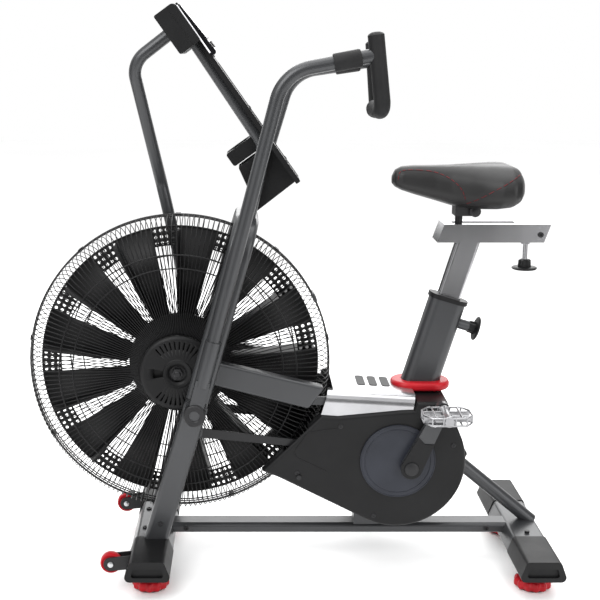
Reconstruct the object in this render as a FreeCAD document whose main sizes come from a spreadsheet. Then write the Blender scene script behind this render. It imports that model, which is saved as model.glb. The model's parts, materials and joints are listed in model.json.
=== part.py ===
"""Air bike: a fan-resistance exercise bike with moving arms, built as separate pieces.

Frame: +Z up, the rider faces -X, +Y is the rider's right. Millimetres.
The origin lies on the floor under the middle of the bike's overall box.
Y = 0 is the middle plane; "left" pieces lie at -Y and "right" pieces at +Y.
"""
import FreeCAD, Part
import math
import os

VEC = FreeCAD.Vector
ROT = FreeCAD.Rotation
PLACE = FreeCAD.Placement
X_AXIS, Y_AXIS, Z_AXIS = VEC(1, 0, 0), VEC(0, 1, 0), VEC(0, 0, 1)
ALONG_Y = ROT(Z_AXIS, Y_AXIS)
SIDES = (("left", -1), ("right", 1))

# Driving dimensions, in mm or degrees: alias -> value.
DIMENSIONS = {
    # fan, guard and drive
    "fan_x": 274, "fan_height": 525, "fan_radius": 345, "fan_half_width": 46, "blade_count": 13,
    "blade_thickness": 3, "disc_radius": 122, "hub_radius": 40, "axle_radius": 8, "window_angle": 10,
    "guard_radius": 374, "guard_half_width": 90, "guard_wire": 2.5, "guard_spokes": 36,
    "hub_cover_radius": 93, "hub_cover_face": 112,
    "crank_x": 291, "crank_height": 299, "crank_length": 165, "crank_angle": 64.5,
    "crank_inner": 134, "crank_thickness": 18, "crank_pulley_radius": 90, "fan_pulley_radius": 22,
    "belt_y": 72, "belt_width": 12, "belt_thickness": 4, "eccentric_throw": 14, "eccentric_radius": 27,
    "shell_radius": 24, "shell_half": 62, "crank_axle_radius": 10,
    # base
    "stab_half_length": 267, "stab_top": 107, "stab_bottom": 60, "stab_top_width": 76,
    "stab_bottom_width": 114, "front_stab_x": 343, "rear_stab_x": 594.4, "cap_length": 150, "cap_wall": 2,
    "rail_top": 105, "rail_bottom": 79, "rail_half_width": 29, "foot_y": 168, "foot_radius": 46,
    "foot_height": 27, "wheel_radius": 26, "wheel_width": 22, "wheel_y": 190, "wheel_x": 436,
    "wheel_height": 75,
    # uprights, bow, console tubes
    "pivot_x": 230, "pivot_height": 449, "upright_outer": 151, "upright_thickness": 28,
    "upright_width": 58, "upright_splay": 19, "bow_height": 888, "bow_lean": 15.5, "bow_bend": 60,
    "mast_radius": 15, "beam_inner": 106, "beam_outer": 135,
    # arms
    "arm_y": 186, "arm_radius": 16, "arm_lean": 14.8, "arm_top": 1239, "arm_bend": 95,
    "socket_radius": 19.5, "grip_radius": 19, "lever_length": 72, "lever_inner": 112.5,
    "lever_thickness": 5, "rod_inner": 106.5, "rod_thickness": 5, "pivot_pin_radius": 9, "right_arm_phase": 2.2,
    # seat
    "seat_lean": 16.7, "seat_tube_length": 92, "seat_tube_depth": 56, "seat_tube_wall": 3,
    "post_length": 55, "post_depth": 32, "seat_beam_half_width": 40,
    "seat_beam_top": 878, "seat_beam_bottom": 834, "seat_beam_front": 353, "seat_beam_rear": 610,
    # covers
    "shroud_half_width": 126, "shroud_wall": 3, "shroud_round": 167, "disc_cover_radius": 92,
    # running clearances
    "fit": 0.05, "gap": 0.5,
}

doc = FreeCAD.newDocument("air_bike")
sheet = doc.addObject("Spreadsheet::Sheet", "dims")
for row, (alias, value) in enumerate(DIMENSIONS.items(), start=1):
    sheet.set("A%d" % row, alias)
    sheet.set("B%d" % row, str(value))
    sheet.setAlias("B%d" % row, alias)
doc.recompute()

NODES = {}


def size(alias):
    """The value of one driving dimension."""
    return float(sheet.get(alias))


def keep(label, feature):
    """Register a finished feature as the node that is written to parts/label.step."""
    feature.Label = label
    NODES[label] = feature
    return feature


def bind(feature, **expressions):
    """Bind properties of a feature to sheet expressions."""
    for name, expression in expressions.items():
        feature.setExpression(name, expression)
    return feature


def cylinder(name, radius, height, base, direction=Z_AXIS):
    """Part::Cylinder from base along direction; radius and height are sheet expressions."""
    feature = bind(doc.addObject("Part::Cylinder", name), Radius=radius, Height=height)
    feature.Placement = PLACE(base, ROT(Z_AXIS, direction))
    return feature


def block(name, low, high, placement=None):
    """Part::Box between two corners, optionally carried by a placement."""
    feature = doc.addObject("Part::Box", name)
    span = high - low
    feature.Length, feature.Width, feature.Height = span.x, span.y, span.z
    feature.Placement = (placement or PLACE()).multiply(PLACE(low, ROT()))
    return feature


def fused(name, pieces):
    """Part::MultiFuse of several features."""
    feature = doc.addObject("Part::MultiFuse", name)
    feature.Shapes = pieces
    return feature


def cut(name, base, *tools):
    """Part::Cut of base by each tool in turn."""
    for index, tool in enumerate(tools):
        feature = doc.addObject("Part::Cut", "%s_cut%d" % (name, index))
        feature.Base, feature.Tool = base, tool
        base = feature
    return base


def grouped(name, pieces):
    """Part::Compound of separate solids that share one node."""
    feature = doc.addObject("Part::Compound", name)
    feature.Links = pieces
    return feature


def shaped(name, shape, placement=None):
    """Part::Feature for a shape that primitives and sketches do not describe well."""
    feature = doc.addObject("Part::Feature", name)
    feature.Shape = shape
    if placement:
        feature.Placement = placement
    return feature


def corner_edges(points):
    """Closed outline edges from (u, v, corner radius) points: lines joined by tangent arcs."""
    runs = []
    for index, (u, v, radius) in enumerate(points):
        here = VEC(u, v, 0)
        back = VEC(*points[index - 1][:2], 0) - here
        ahead = VEC(*points[(index + 1) % len(points)][:2], 0) - here
        if radius <= 0:
            runs.append((here, here, here))
            continue
        turn = back.getAngle(ahead)
        reach = radius / math.tan(turn / 2)
        bisector = (back.normalize() + ahead.normalize()).normalize()
        middle = here + bisector * (radius / math.sin(turn / 2) - radius)
        runs.append((here + back * reach, middle, here + ahead * reach))
    edges = []
    for index, (start, middle, end) in enumerate(runs):
        if (end - start).Length > 1e-6:
            edges.append(Part.Arc(start, middle, end))
        following = runs[(index + 1) % len(runs)][0]
        if (following - end).Length > 1e-6:
            edges.append(Part.LineSegment(end, following))
    return edges


def origin_plane(body, role):
    """One of a body's own origin planes."""
    return next(item for item in body.Origin.OriginFeatures if item.Role == role)


def sketch_on(body, role, edges, name):
    """A sketch with the given geometry on one of the body's origin planes."""
    sketch = body.newObject("Sketcher::SketchObject", name)
    sketch.AttachmentSupport = (origin_plane(body, role), [""])
    sketch.MapMode = "FlatFace"
    sketch.addGeometry(edges, False)
    return sketch


def circle(u, v, radius):
    """A full circle for a sketch."""
    return Part.Circle(VEC(u, v, 0), Z_AXIS, radius)


def prism(name, role, edges, length, placement=None, middle=False):
    """A PartDesign body: one sketch padded by a sheet expression."""
    body = doc.addObject("PartDesign::Body", name)
    sketch = sketch_on(body, role, edges, name + "_outline")
    pad = body.newObject("PartDesign::Pad", name + "_pad")
    pad.Profile = sketch
    pad.setExpression("Length", length)
    pad.Midplane = middle
    body.Placement = placement or PLACE()
    return body


def pocketed(body, role, edges, depth, name, reversed_cut=True, middle=False):
    """Cut a pocket into a body from a new sketch."""
    sketch = sketch_on(body, role, edges, name + "_outline")
    pocket = body.newObject("PartDesign::Pocket", name)
    pocket.Profile = sketch
    pocket.setExpression("Length", depth)
    pocket.Reversed = reversed_cut
    pocket.Midplane = middle
    return pocket


def turned(name, points, placement=None):
    """A PartDesign body turned about its Z axis from (radius, height) points."""
    body = doc.addObject("PartDesign::Body", name)
    edges = corner_edges([(radius, height, 0) for radius, height in points])
    sketch = sketch_on(body, "XZ_Plane", edges, name + "_profile")
    revolution = body.newObject("PartDesign::Revolution", name + "_turn")
    revolution.Profile = sketch
    revolution.ReferenceAxis = (sketch, ["V_Axis"])
    revolution.Angle = 360
    body.Placement = placement or PLACE()
    return body


def softened(body, radius, choose):
    """Round the edges of a body that choose() accepts."""
    doc.recompute()
    tip = body.Tip
    names = ["Edge%d" % (i + 1) for i, edge in enumerate(tip.Shape.Edges) if choose(edge)]
    fillet = body.newObject("PartDesign::Fillet", body.Name + "_round")
    fillet.Base = (tip, names)
    fillet.Radius = radius
    return body


def tube_path(points, bend):
    """A wire of straight runs through points, joined by tangent arcs of one bend radius."""
    edges = []
    start = points[0]
    for index in range(1, len(points) - 1):
        here = points[index]
        back = (points[index - 1] - here).normalize()
        ahead = (points[index + 1] - here).normalize()
        turn = back.getAngle(ahead)
        reach = bend / math.tan(turn / 2)
        middle = here + (back + ahead).normalize() * (bend / math.sin(turn / 2) - bend)
        edges.append(Part.LineSegment(start, here + back * reach).toShape())
        edges.append(Part.Arc(here + back * reach, middle, here + ahead * reach).toShape())
        start = here + ahead * reach
    edges.append(Part.LineSegment(start, points[-1]).toShape())
    return Part.Wire(edges)


def bent_tube(name, points, radius, bend):
    """A round bar swept along tube_path; the radius is a number read from the sheet."""
    path = tube_path(points, bend)
    ring = Part.Wire([Part.Circle(points[0], points[1] - points[0], radius).toShape()])
    return shaped(name, path.makePipeShell([ring], True, False))


def frame_rotation(z_direction, x_hint):
    """Rotation whose local Z follows z_direction and whose local X leans on x_hint."""
    z_dir = VEC(z_direction).normalize()
    y_dir = z_dir.cross(x_hint).normalize()
    return ROT(y_dir.cross(z_dir), y_dir, z_dir, "ZXY")


def mirrored(name, source):
    """The same piece on the other side of the middle plane."""
    feature = doc.addObject("Part::Mirroring", name)
    feature.Source = source
    feature.Normal = Y_AXIS
    return feature


FAN = VEC(-size("fan_x"), 0, size("fan_height"))
CRANK = VEC(size("crank_x"), 0, size("crank_height"))
PIVOT = VEC(-size("pivot_x"), 0, size("pivot_height"))


# ---------------------------------------------------------------- base
def build_base():
    half_top, half_bottom = size("stab_top_width") / 2, size("stab_bottom_width") / 2
    low, high = size("stab_bottom"), size("stab_top")
    for label, centre in (("front", -size("front_stab_x")), ("rear", size("rear_stab_x"))):
        outline = corner_edges([(centre - half_bottom, low, 10), (centre + half_bottom, low, 10),
                                (centre + half_top, high, 8), (centre - half_top, high, 8)])
        keep(label + "_stabilizer", prism(label + "_stabilizer", "XZ_Plane", outline,
                                          "2 * (dims.stab_half_length - dims.cap_length)", middle=True))
    wall = size("cap_wall")
    caps = []
    for label, centre in (("front", -size("front_stab_x")), ("rear", size("rear_stab_x"))):
        for side, sign in SIDES:
            name = "cap_%s_%s" % (label, side)
            outline = corner_edges([(centre - half_bottom - wall, low - wall, 12),
                                    (centre + half_bottom + wall, low - wall, 12),
                                    (centre + half_top + wall, high + wall, 10),
                                    (centre - half_top - wall, high + wall, 10)])
            inner, outer = size("stab_half_length") - size("cap_length"), size("stab_half_length")
            cap = prism(name, "XZ_Plane", outline, "dims.cap_length",
                        PLACE(VEC(0, outer if sign > 0 else -inner, 0), ROT()))
            slot = corner_edges([(centre - 40, low + 9, 6), (centre + 40, low + 9, 6),
                                 (centre + 33, low + 31, 6), (centre - 33, low + 31, 6)])
            recess = prism(name + "_slot", "XZ_Plane", slot, "10",
                           PLACE(VEC(0, outer + 2 if sign > 0 else 8 - outer, 0), ROT()))
            cap = cut(name + "_cap", cap, recess)
            caps.append(cap)
    keep("stabilizer_end_caps", grouped("stabilizer_end_caps", caps))

    side = size("rail_half_width")
    outline = corner_edges([(-side, size("rail_bottom"), 8), (side, size("rail_bottom"), 8),
                            (side, size("rail_top") - 6, 8), (side - 8, size("rail_top"), 2),
                            (8 - side, size("rail_top"), 2), (-side, size("rail_top") - 6, 8)])
    rail = prism("base_rail_bar", "YZ_Plane", outline, "dims.front_stab_x + dims.rear_stab_x",
                 PLACE(VEC(-size("front_stab_x"), 0, 0), ROT()))
    rail = cut("base_rail", rail, NODES["front_stabilizer"], NODES["rear_stabilizer"])
    keep("base_rail", rail)

    for label, centre in (("front", -size("front_stab_x")), ("rear", size("rear_stab_x"))):
        for side_name, sign in SIDES:
            build_foot("foot_%s_%s" % (label, side_name), VEC(centre, sign * size("foot_y"), 0))


def build_foot(label, base):
    """Lobed levelling foot that turns on its screw under the stabilizer."""
    radius, height = size("foot_radius"), size("foot_height")
    lobes = 8
    points = []
    for index in range(2 * lobes):
        angle = math.pi * index / lobes
        reach = radius if index % 2 == 0 else radius * 0.84
        points.append((reach * math.cos(angle), reach * math.sin(angle), 5))
    grip = prism(label + "_grip", "XY_Plane", corner_edges(points), "dims.foot_height", PLACE(base, ROT()))
    neck = cylinder(label + "_neck", "0.45 * dims.foot_radius", "dims.stab_bottom - dims.foot_height"
                    " - dims.cap_wall - dims.gap", base + VEC(0, 0, height))
    keep(label, fused(label, [grip, neck]))


# ---------------------------------------------------------------- front frame
def upright_bar(name, low, high):
    """Flat oval bar between two points, its wide side in the XZ plane."""
    width, depth = size("upright_width") / 2, size("upright_thickness") / 2
    outline = corner_edges([(-width, -depth, 11), (width, -depth, 11), (width, depth, 11), (-width, depth, 11)])
    rotation = frame_rotation(high - low, X_AXIS)
    body = prism(name, "XY_Plane", outline, "%f" % (high - low).Length, PLACE(low, rotation))
    return body


def build_uprights():
    middle_y = size("upright_outer") - size("upright_thickness") / 2
    foot = VEC(-size("front_stab_x") + 4, -middle_y + size("upright_splay"), size("stab_top") - 25)
    head = PIVOT + VEC(0, -middle_y, 0)
    bar = upright_bar("upright_bar", foot, head)
    boss = cylinder("upright_boss", "dims.upright_width / 2", "dims.upright_thickness",
                    PIVOT + VEC(0, -size("upright_outer"), 0), Y_AXIS)
    whole = fused("upright_whole", [bar, boss])
    bore = cylinder("upright_bore", "dims.pivot_pin_radius + dims.fit", "dims.upright_thickness + 80",
                    PIVOT + VEC(0, -size("upright_outer") - 40, 0), Y_AXIS)
    left = cut("upright_left", whole, bore, NODES["front_stabilizer"], NODES["stabilizer_end_caps"])
    keep("upright_left", left)
    keep("upright_right", mirrored("upright_right", left))


def build_bow():
    """One bent oval tube from pivot to pivot over the fan guard, in a plane that leans back."""
    lean = math.radians(size("bow_lean"))
    reach = (size("bow_height") - size("pivot_height")) / math.cos(lean)
    depth, width = size("upright_thickness") / 2, size("upright_width") / 2
    middle, start = size("upright_outer") - depth, width - 8
    path = tube_path([VEC(0, -middle, start), VEC(0, -middle, reach), VEC(0, middle, reach),
                      VEC(0, middle, start)], size("bow_bend") + depth)
    outline = corner_edges([(-width, -depth, 11), (width, -depth, 11), (width, depth, 11), (-width, depth, 11)])
    profile = Part.Wire(Part.__sortEdges__([edge.toShape() for edge in outline]))
    profile.Placement = PLACE(VEC(0, -middle, start), ROT())
    body = shaped("bow_tube", path.makePipeShell([profile], True, False), PLACE())
    body.Placement = PLACE(PIVOT, ROT(Y_AXIS, size("bow_lean")))
    keep("fan_bow", cut("fan_bow", body, NODES["upright_left"], NODES["upright_right"]))


def build_console_tubes():
    bend = 80
    mast = bent_tube("mast_tube", [VEC(-272, 0, 1338), VEC(-379, 0, 1257), VEC(-322, 116, 960),
                                   VEC(-231, 132, 540)], size("mast_radius"), 60)
    keep("console_mast", cut("console_mast", mast, NODES["fan_bow"]))
    stay = bent_tube("stay_tube", [VEC(-237, 0, 1316), VEC(-62, 0, 1057), VEC(-102, 0, 884)],
                     size("mast_radius"), bend)
    keep("console_stay", cut("console_stay", stay, NODES["fan_bow"]))


def build_side_beams():
    low, high = size("beam_inner"), size("beam_outer")
    outline = corner_edges([(-206, 566, 0), (80, 497, 6), (42, 444, 10), (-206, 508, 0)])
    beam = prism("beam_bar", "XZ_Plane", outline, "dims.beam_outer - dims.beam_inner",
                 PLACE(VEC(0, -low, 0), ROT()))
    softened(beam, 6, lambda edge: edge.CenterOfMass.y < low - high + 0.5)
    beam = cut("side_beam_left", beam, NODES["upright_left"], NODES["fan_bow"])
    keep("side_beam_left", beam)
    keep("side_beam_right", mirrored("side_beam_right", beam))


# ---------------------------------------------------------------- frame inside the shroud
def tangent_loop(centre_a, radius_a, centre_b, radius_b):
    """Closed outline around two circles: two tangent lines and two arcs, in (u, v)."""
    base, tip = VEC(centre_a[0], centre_a[1], 0), VEC(centre_b[0], centre_b[1], 0)
    along = tip - base
    heading = math.atan2(along.y, along.x)
    spread = math.acos((radius_a - radius_b) / along.Length)

    def rim(centre, radius, angle):
        return centre + VEC(math.cos(angle), math.sin(angle), 0) * radius

    upper_a, lower_a = rim(base, radius_a, heading + spread), rim(base, radius_a, heading - spread)
    upper_b, lower_b = rim(tip, radius_b, heading + spread), rim(tip, radius_b, heading - spread)
    return [Part.LineSegment(lower_a, lower_b), Part.Arc(lower_b, rim(tip, radius_b, heading), upper_b),
            Part.LineSegment(upper_b, upper_a), Part.Arc(upper_a, rim(base, -radius_a, heading), lower_a)]


SEAT_BASE = VEC(283, 0, 331)
SEAT_TURN = ROT(Y_AXIS, size("seat_lean"))
SEAT_AXIS = SEAT_TURN.multVec(Z_AXIS)
SEAT_TUBE_REACH = 368


def rounded_rectangle(length, depth, radius):
    """Centred rounded rectangle, length along u and depth along v."""
    return corner_edges([(-length / 2, -depth / 2, radius), (length / 2, -depth / 2, radius),
                         (length / 2, depth / 2, radius), (-length / 2, depth / 2, radius)])


def seat_prism(name, length, depth, radius, start, reach):
    """Rounded bar on the seat tube's axis, from start for reach millimetres along it."""
    return prism(name, "XY_Plane", rounded_rectangle(length, depth, radius), "%f" % reach,
                 PLACE(SEAT_BASE + SEAT_AXIS * start, SEAT_TURN))


def build_main_frame():
    half = size("shell_half")
    shell = cylinder("bracket_shell", "dims.shell_radius", "2 * dims.shell_half",
                     CRANK + VEC(0, -half, 0), Y_AXIS)
    spine = block("spine_bar", VEC(150, -22, 434), VEC(300, 22, 460))
    cross = block("cross_bar", VEC(128, -size("beam_inner"), 445), VEC(160, size("beam_inner"), 466))
    plates = [block("bridge_" + side, VEC(44, min(sign * 100, sign * size("beam_inner")), 446),
                    VEC(150, max(sign * 100, sign * size("beam_inner")), 466)) for side, sign in SIDES]
    web = block("web_plate", VEC(214, -20, 288), VEC(280, 20, 310))
    whole = fused("main_frame_whole", [spine, cross] + plates)

    depth, length = size("seat_tube_depth"), size("seat_tube_length")
    wall = size("seat_tube_wall")
    outer = seat_prism("seat_tube_outer", length, depth, 24, 0, SEAT_TUBE_REACH)
    inner = seat_prism("seat_tube_inner", length - 2 * wall, depth - 2 * wall, 21, -20, SEAT_TUBE_REACH + 40)
    back = VEC(SEAT_TURN.multVec(X_AXIS))
    pin_base = SEAT_BASE + SEAT_AXIS * 320 + back * (size("post_length") / 2 + 1)
    boss = cylinder("pin_boss", "13", "30", SEAT_BASE + SEAT_AXIS * 320 + back * 42, back)
    hole = cylinder("pin_hole", "6.05", "80", pin_base, back)
    tube = cut("seat_tube", fused("seat_tube_whole", [outer, boss]), inner, shell, hole)
    keep("seat_tube", tube)
    keep("main_frame", cut("main_frame", whole, outer))

    bore = cylinder("shell_bore", "18", "200", CRANK + VEC(0, -100, 0), Y_AXIS)
    strut = block("strut_bar", VEC(166, -25, 100), VEC(230, 25, 310))
    keep("support_strut", cut("support_strut", fused("support_whole", [strut, web, shell]), bore,
                              NODES["base_rail"]))
    brace = cylinder("rear_brace", "17", "385", VEC(330, 0, 348), VEC(268, 0, -223))
    keep("rear_strut", cut("rear_strut", brace, outer, NODES["rear_stabilizer"], shell))

    lip = seat_prism("sleeve_lip", length + 7, depth + 7, 26, SEAT_TUBE_REACH, 11)
    liner = seat_prism("sleeve_liner", length - 2 * wall, depth - 2 * wall, 21,
                       SEAT_TUBE_REACH - 90, 90)
    bore = seat_prism("sleeve_bore", size("post_length") + 0.2, size("post_depth") + 0.2, 6,
                      SEAT_TUBE_REACH - 100, 120)
    keep("seat_tube_sleeve", cut("seat_tube_sleeve", fused("sleeve_whole", [lip, liner]), bore, hole))
    return outer


# ---------------------------------------------------------------- fan, guard, drive
def polar(radius, degrees):
    """(u, v) at a radius and angle."""
    return radius * math.cos(math.radians(degrees)), radius * math.sin(math.radians(degrees))


def build_fan():
    count = int(size("blade_count"))
    pitch = 360 / count
    half_gap = size("window_angle") / 2
    rotor = prism("rotor_disc", "XZ_Plane", [circle(0, 0, size("fan_radius"))], "dims.blade_thickness",
                  middle=True)
    windows, blades = [], []
    for index in range(count):
        middle = 95 + pitch * index
        inner, outer = size("disc_radius") + 4, size("fan_radius") - 48
        corners = [polar(inner, middle - half_gap), polar(outer, middle - half_gap),
                   polar(outer, middle + half_gap), polar(inner, middle + half_gap)]
        windows += corner_edges([(u, v, 0) for u, v in corners])
        edge = middle - half_gap - 1.2
        along = polar(1, edge)
        side = (-along[1] * size("blade_thickness") / 2, along[0] * size("blade_thickness") / 2)
        reach = [(radius * along[0] + sign * side[0], radius * along[1] + sign * side[1], 0)
                 for radius, sign in ((size("disc_radius") - 2, -1), (size("fan_radius") - 4, -1),
                                      (size("fan_radius") - 4, 1), (size("disc_radius") - 2, 1))]
        blades += corner_edges(reach)
    pocketed(rotor, "XZ_Plane", windows, "3 * dims.blade_thickness", "rotor_windows", middle=True)
    sketch = sketch_on(rotor, "XZ_Plane", blades, "blade_outline")
    pad = rotor.newObject("PartDesign::Pad", "blade_pad")
    pad.Profile = sketch
    pad.setExpression("Length", "2 * dims.fan_half_width")
    pad.Midplane = True
    sketch = sketch_on(rotor, "XZ_Plane", [circle(0, 0, size("hub_radius"))], "hub_outline")
    hub = rotor.newObject("PartDesign::Pad", "hub_pad")
    hub.Profile = sketch
    hub.setExpression("Length", "2 * dims.fan_half_width")
    hub.Midplane = True
    pocketed(rotor, "XZ_Plane", [circle(0, 0, 16)], "3 * dims.fan_half_width", "hub_bore", middle=True)
    rotor.Placement = PLACE(FAN, ROT())

    start = size("fan_half_width")
    pulley = cylinder("fan_pulley_rim", "dims.fan_pulley_radius", "dims.belt_y + 8 - dims.fan_half_width",
                      FAN + VEC(0, start, 0), Y_AXIS)
    hole = cylinder("fan_pulley_hole", "9", "60", FAN + VEC(0, start - 10, 0), Y_AXIS)
    keep("fan_rotor", cut("fan_rotor", fused("rotor_whole", [rotor, pulley]), hole))

    reach = size("hub_cover_face") + 3
    axle = cylinder("axle_rod", "dims.axle_radius", "2 * %f" % reach, FAN + VEC(0, -reach, 0), Y_AXIS)
    nuts = [prism("nut_" + side, "XZ_Plane", corner_edges([polar(13, 60 * k) + (0,) for k in range(6)]), "7",
                  PLACE(FAN + VEC(0, sign * 110 + 3.5, 0), ROT())) for side, sign in SIDES]
    plates = [block("axle_plate_" + side, VEC(-294, min(sign * 100, sign * 106), 507),
                    VEC(-120, max(sign * 100, sign * 106), 543)) for side, sign in SIDES]
    keep("fan_axle", fused("fan_axle", [axle] + nuts + plates))

    bearings = []
    for side, sign in SIDES:
        for name, centre, middle, inner, outer in (
                ("fan", FAN, 34, size("axle_radius"), 16 - size("fit")),
                ("crank", CRANK, 55, size("crank_axle_radius") + size("fit"), 18)):
            base = centre + VEC(0, sign * middle - 6, 0)
            ring = cylinder("%s_bearing_%s" % (name, side), "%f" % outer, "12", base, Y_AXIS)
            bore = cylinder("%s_race_%s" % (name, side), "%f" % inner, "12", base, Y_AXIS)
            bearings.append(cut("%s_ring_%s" % (name, side), ring, bore))
    keep("bearings", grouped("bearings", bearings))


def guard_windows():
    """Openings between the guard's spokes and rings, as edges in the guard's face plane."""
    count, half = int(size("guard_spokes")), size("guard_wire")
    edges = []
    for index in range(count):
        start, end = 360 / count * index, 360 / count * (index + 1)
        for low, high in ((91, 259), (265, 287), (293, size("guard_radius") - 10)):
            trim = [math.degrees(math.asin(half / radius)) for radius in (low, high)]
            corners = [polar(low, start + trim[0]), polar(high, start + trim[1]),
                       polar(high, end - trim[1]), polar(low, end - trim[0])]
            edges += corner_edges([(u, v, 0) for u, v in corners])
    return edges


def build_guard():
    """Guard halves: a dished shell opened up into spokes and rings, and a cover on its hub."""
    wire, depth, rim = size("guard_wire"), size("guard_half_width"), size("guard_radius")
    shell = turned("guard_shell", [(86, depth + wire), (336, depth + wire), (366, 0.45 * depth), (rim, 5),
                                   (rim - 5, 5), (361, 0.45 * depth), (333, depth - wire), (86, depth - wire)],
                   PLACE())
    pocketed(shell, "XY_Plane", guard_windows(), "3 * dims.guard_half_width", "guard_windows", middle=True)
    shell.Placement = PLACE(FAN, ROT(Z_AXIS, -Y_AXIS))
    belt_room = prism("belt_room", "XZ_Plane", tangent_loop((CRANK.x, CRANK.z), size("crank_pulley_radius") + 9,
                      (FAN.x, FAN.z), size("fan_pulley_radius") + 9), "26", PLACE(VEC(0, -59, 0), ROT()))
    guard = cut("guard_left", shell, belt_room)
    keep("guard_left", guard)
    keep("guard_right", mirrored("guard_right", guard))

    face, radius = size("hub_cover_face"), size("hub_cover_radius")
    start = depth + wire + 0.5
    deep = face - start
    cup = turned("hub_cup", [(18, deep), (radius - 9, deep), (radius, deep - 7), (radius, 0), (radius - 3, 0),
                             (radius - 3, deep - 8), (radius - 10, deep - 3), (18, deep - 3)],
                 PLACE(FAN + VEC(0, -start, 0), ROT(Z_AXIS, -Y_AXIS)))
    notch = block("hub_notch", VEC(-210, -114, 498), VEC(-150, -99, 574))
    cover = cut("hub_cover_left", cup, notch)
    keep("hub_cover_left", cover)
    keep("hub_cover_right", mirrored("hub_cover_right", cover))


def build_drive():
    angle = size("crank_angle")
    level = size("belt_y") - size("belt_width") / 2
    reach = size("crank_inner") + size("crank_thickness")
    axle = cylinder("crank_rod", "dims.crank_axle_radius", "2 * %f" % reach,
                    CRANK + VEC(0, -reach, 0), Y_AXIS)
    pieces = [axle]
    for side, sign in SIDES:
        throw = polar(size("eccentric_throw"), angle + (0 if sign < 0 else 180))
        inner, thick = size("rod_inner"), size("rod_thickness")
        base = CRANK + VEC(throw[0], min(sign * inner, sign * (inner + thick)), throw[1])
        pieces.append(cylinder("eccentric_" + side, "dims.eccentric_radius", "dims.rod_thickness", base, Y_AXIS))
    keep("crank_axle", fused("crank_axle", pieces))

    disc = cylinder("crank_pulley_disc", "dims.crank_pulley_radius", "dims.belt_width",
                    CRANK + VEC(0, level, 0), Y_AXIS)
    keep("crank_pulley", cut("crank_pulley", disc, axle))

    slack = 0.3
    inner = tangent_loop((CRANK.x, CRANK.z), size("crank_pulley_radius") + slack,
                         (FAN.x, FAN.z), size("fan_pulley_radius") + slack)
    outer = tangent_loop((CRANK.x, CRANK.z), size("crank_pulley_radius") + size("belt_thickness"),
                         (FAN.x, FAN.z), size("fan_pulley_radius") + size("belt_thickness"))
    keep("drive_belt", prism("drive_belt", "XZ_Plane", inner + outer, "dims.belt_width",
                             PLACE(VEC(0, size("belt_y") + size("belt_width") / 2, 0), ROT())))

    for side, sign in SIDES:
        build_crank_arm(side, sign, angle + (0 if sign < 0 else 180))


def build_crank_arm(side, sign, angle):
    """Crank arm with its pedal spindle, and the pedal that turns on it."""
    inner, thick, length = size("crank_inner"), size("crank_thickness"), size("crank_length")
    turn = ROT(Y_AXIS, -angle)
    start = inner + thick if sign > 0 else -inner
    bar = prism("crank_bar_" + side, "XZ_Plane", tangent_loop((0, 0), 24, (length, 0), 17),
                "dims.crank_thickness", PLACE(CRANK + VEC(0, start, 0), turn))
    along = polar(length, angle)
    tip = CRANK + VEC(along[0], 0, along[1])
    spindle_base = tip + VEC(0, sign * (inner + thick - 4), 0)
    spindle = cylinder("spindle_" + side, "7", "92", spindle_base, Y_AXIS * sign)
    hole = cylinder("crank_hole_" + side, "dims.crank_axle_radius", "%f" % (thick + 2),
                    CRANK + VEC(0, sign * (inner - 1), 0), Y_AXIS * sign)
    keep("crank_arm_" + side, cut("crank_arm_" + side, fused("crank_whole_" + side, [bar, spindle]), hole))

    centre = tip + VEC(0, sign * 203, 0)
    outline = corner_edges([(-57, -22, 4), (-40, -45, 4), (40, -45, 4), (57, -22, 4),
                            (57, 22, 4), (40, 45, 4), (-40, 45, 4), (-57, 22, 4)])
    windows = []
    for mirror in (-1, 1):
        inner_u, outer_u = mirror * 18, mirror * 44
        for low, high in ((-36, -3), (3, 36)):
            windows += corner_edges([(min(inner_u, outer_u), low, 3), (max(inner_u, outer_u), low, 3),
                                     (max(inner_u, outer_u), high, 3), (min(inner_u, outer_u), high, 3)])
    cage = prism("pedal_cage_" + side, "XY_Plane", outline, "24", middle=True)
    pocketed(cage, "XY_Plane", windows, "60", "pedal_windows_" + side, middle=True)
    cage.Placement = PLACE(centre, ROT())
    bore = cylinder("pedal_bore_" + side, "7.05", "120", centre + VEC(0, -60, 0), Y_AXIS)
    keep("pedal_" + side, cut("pedal_" + side, cage, bore))


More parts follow.
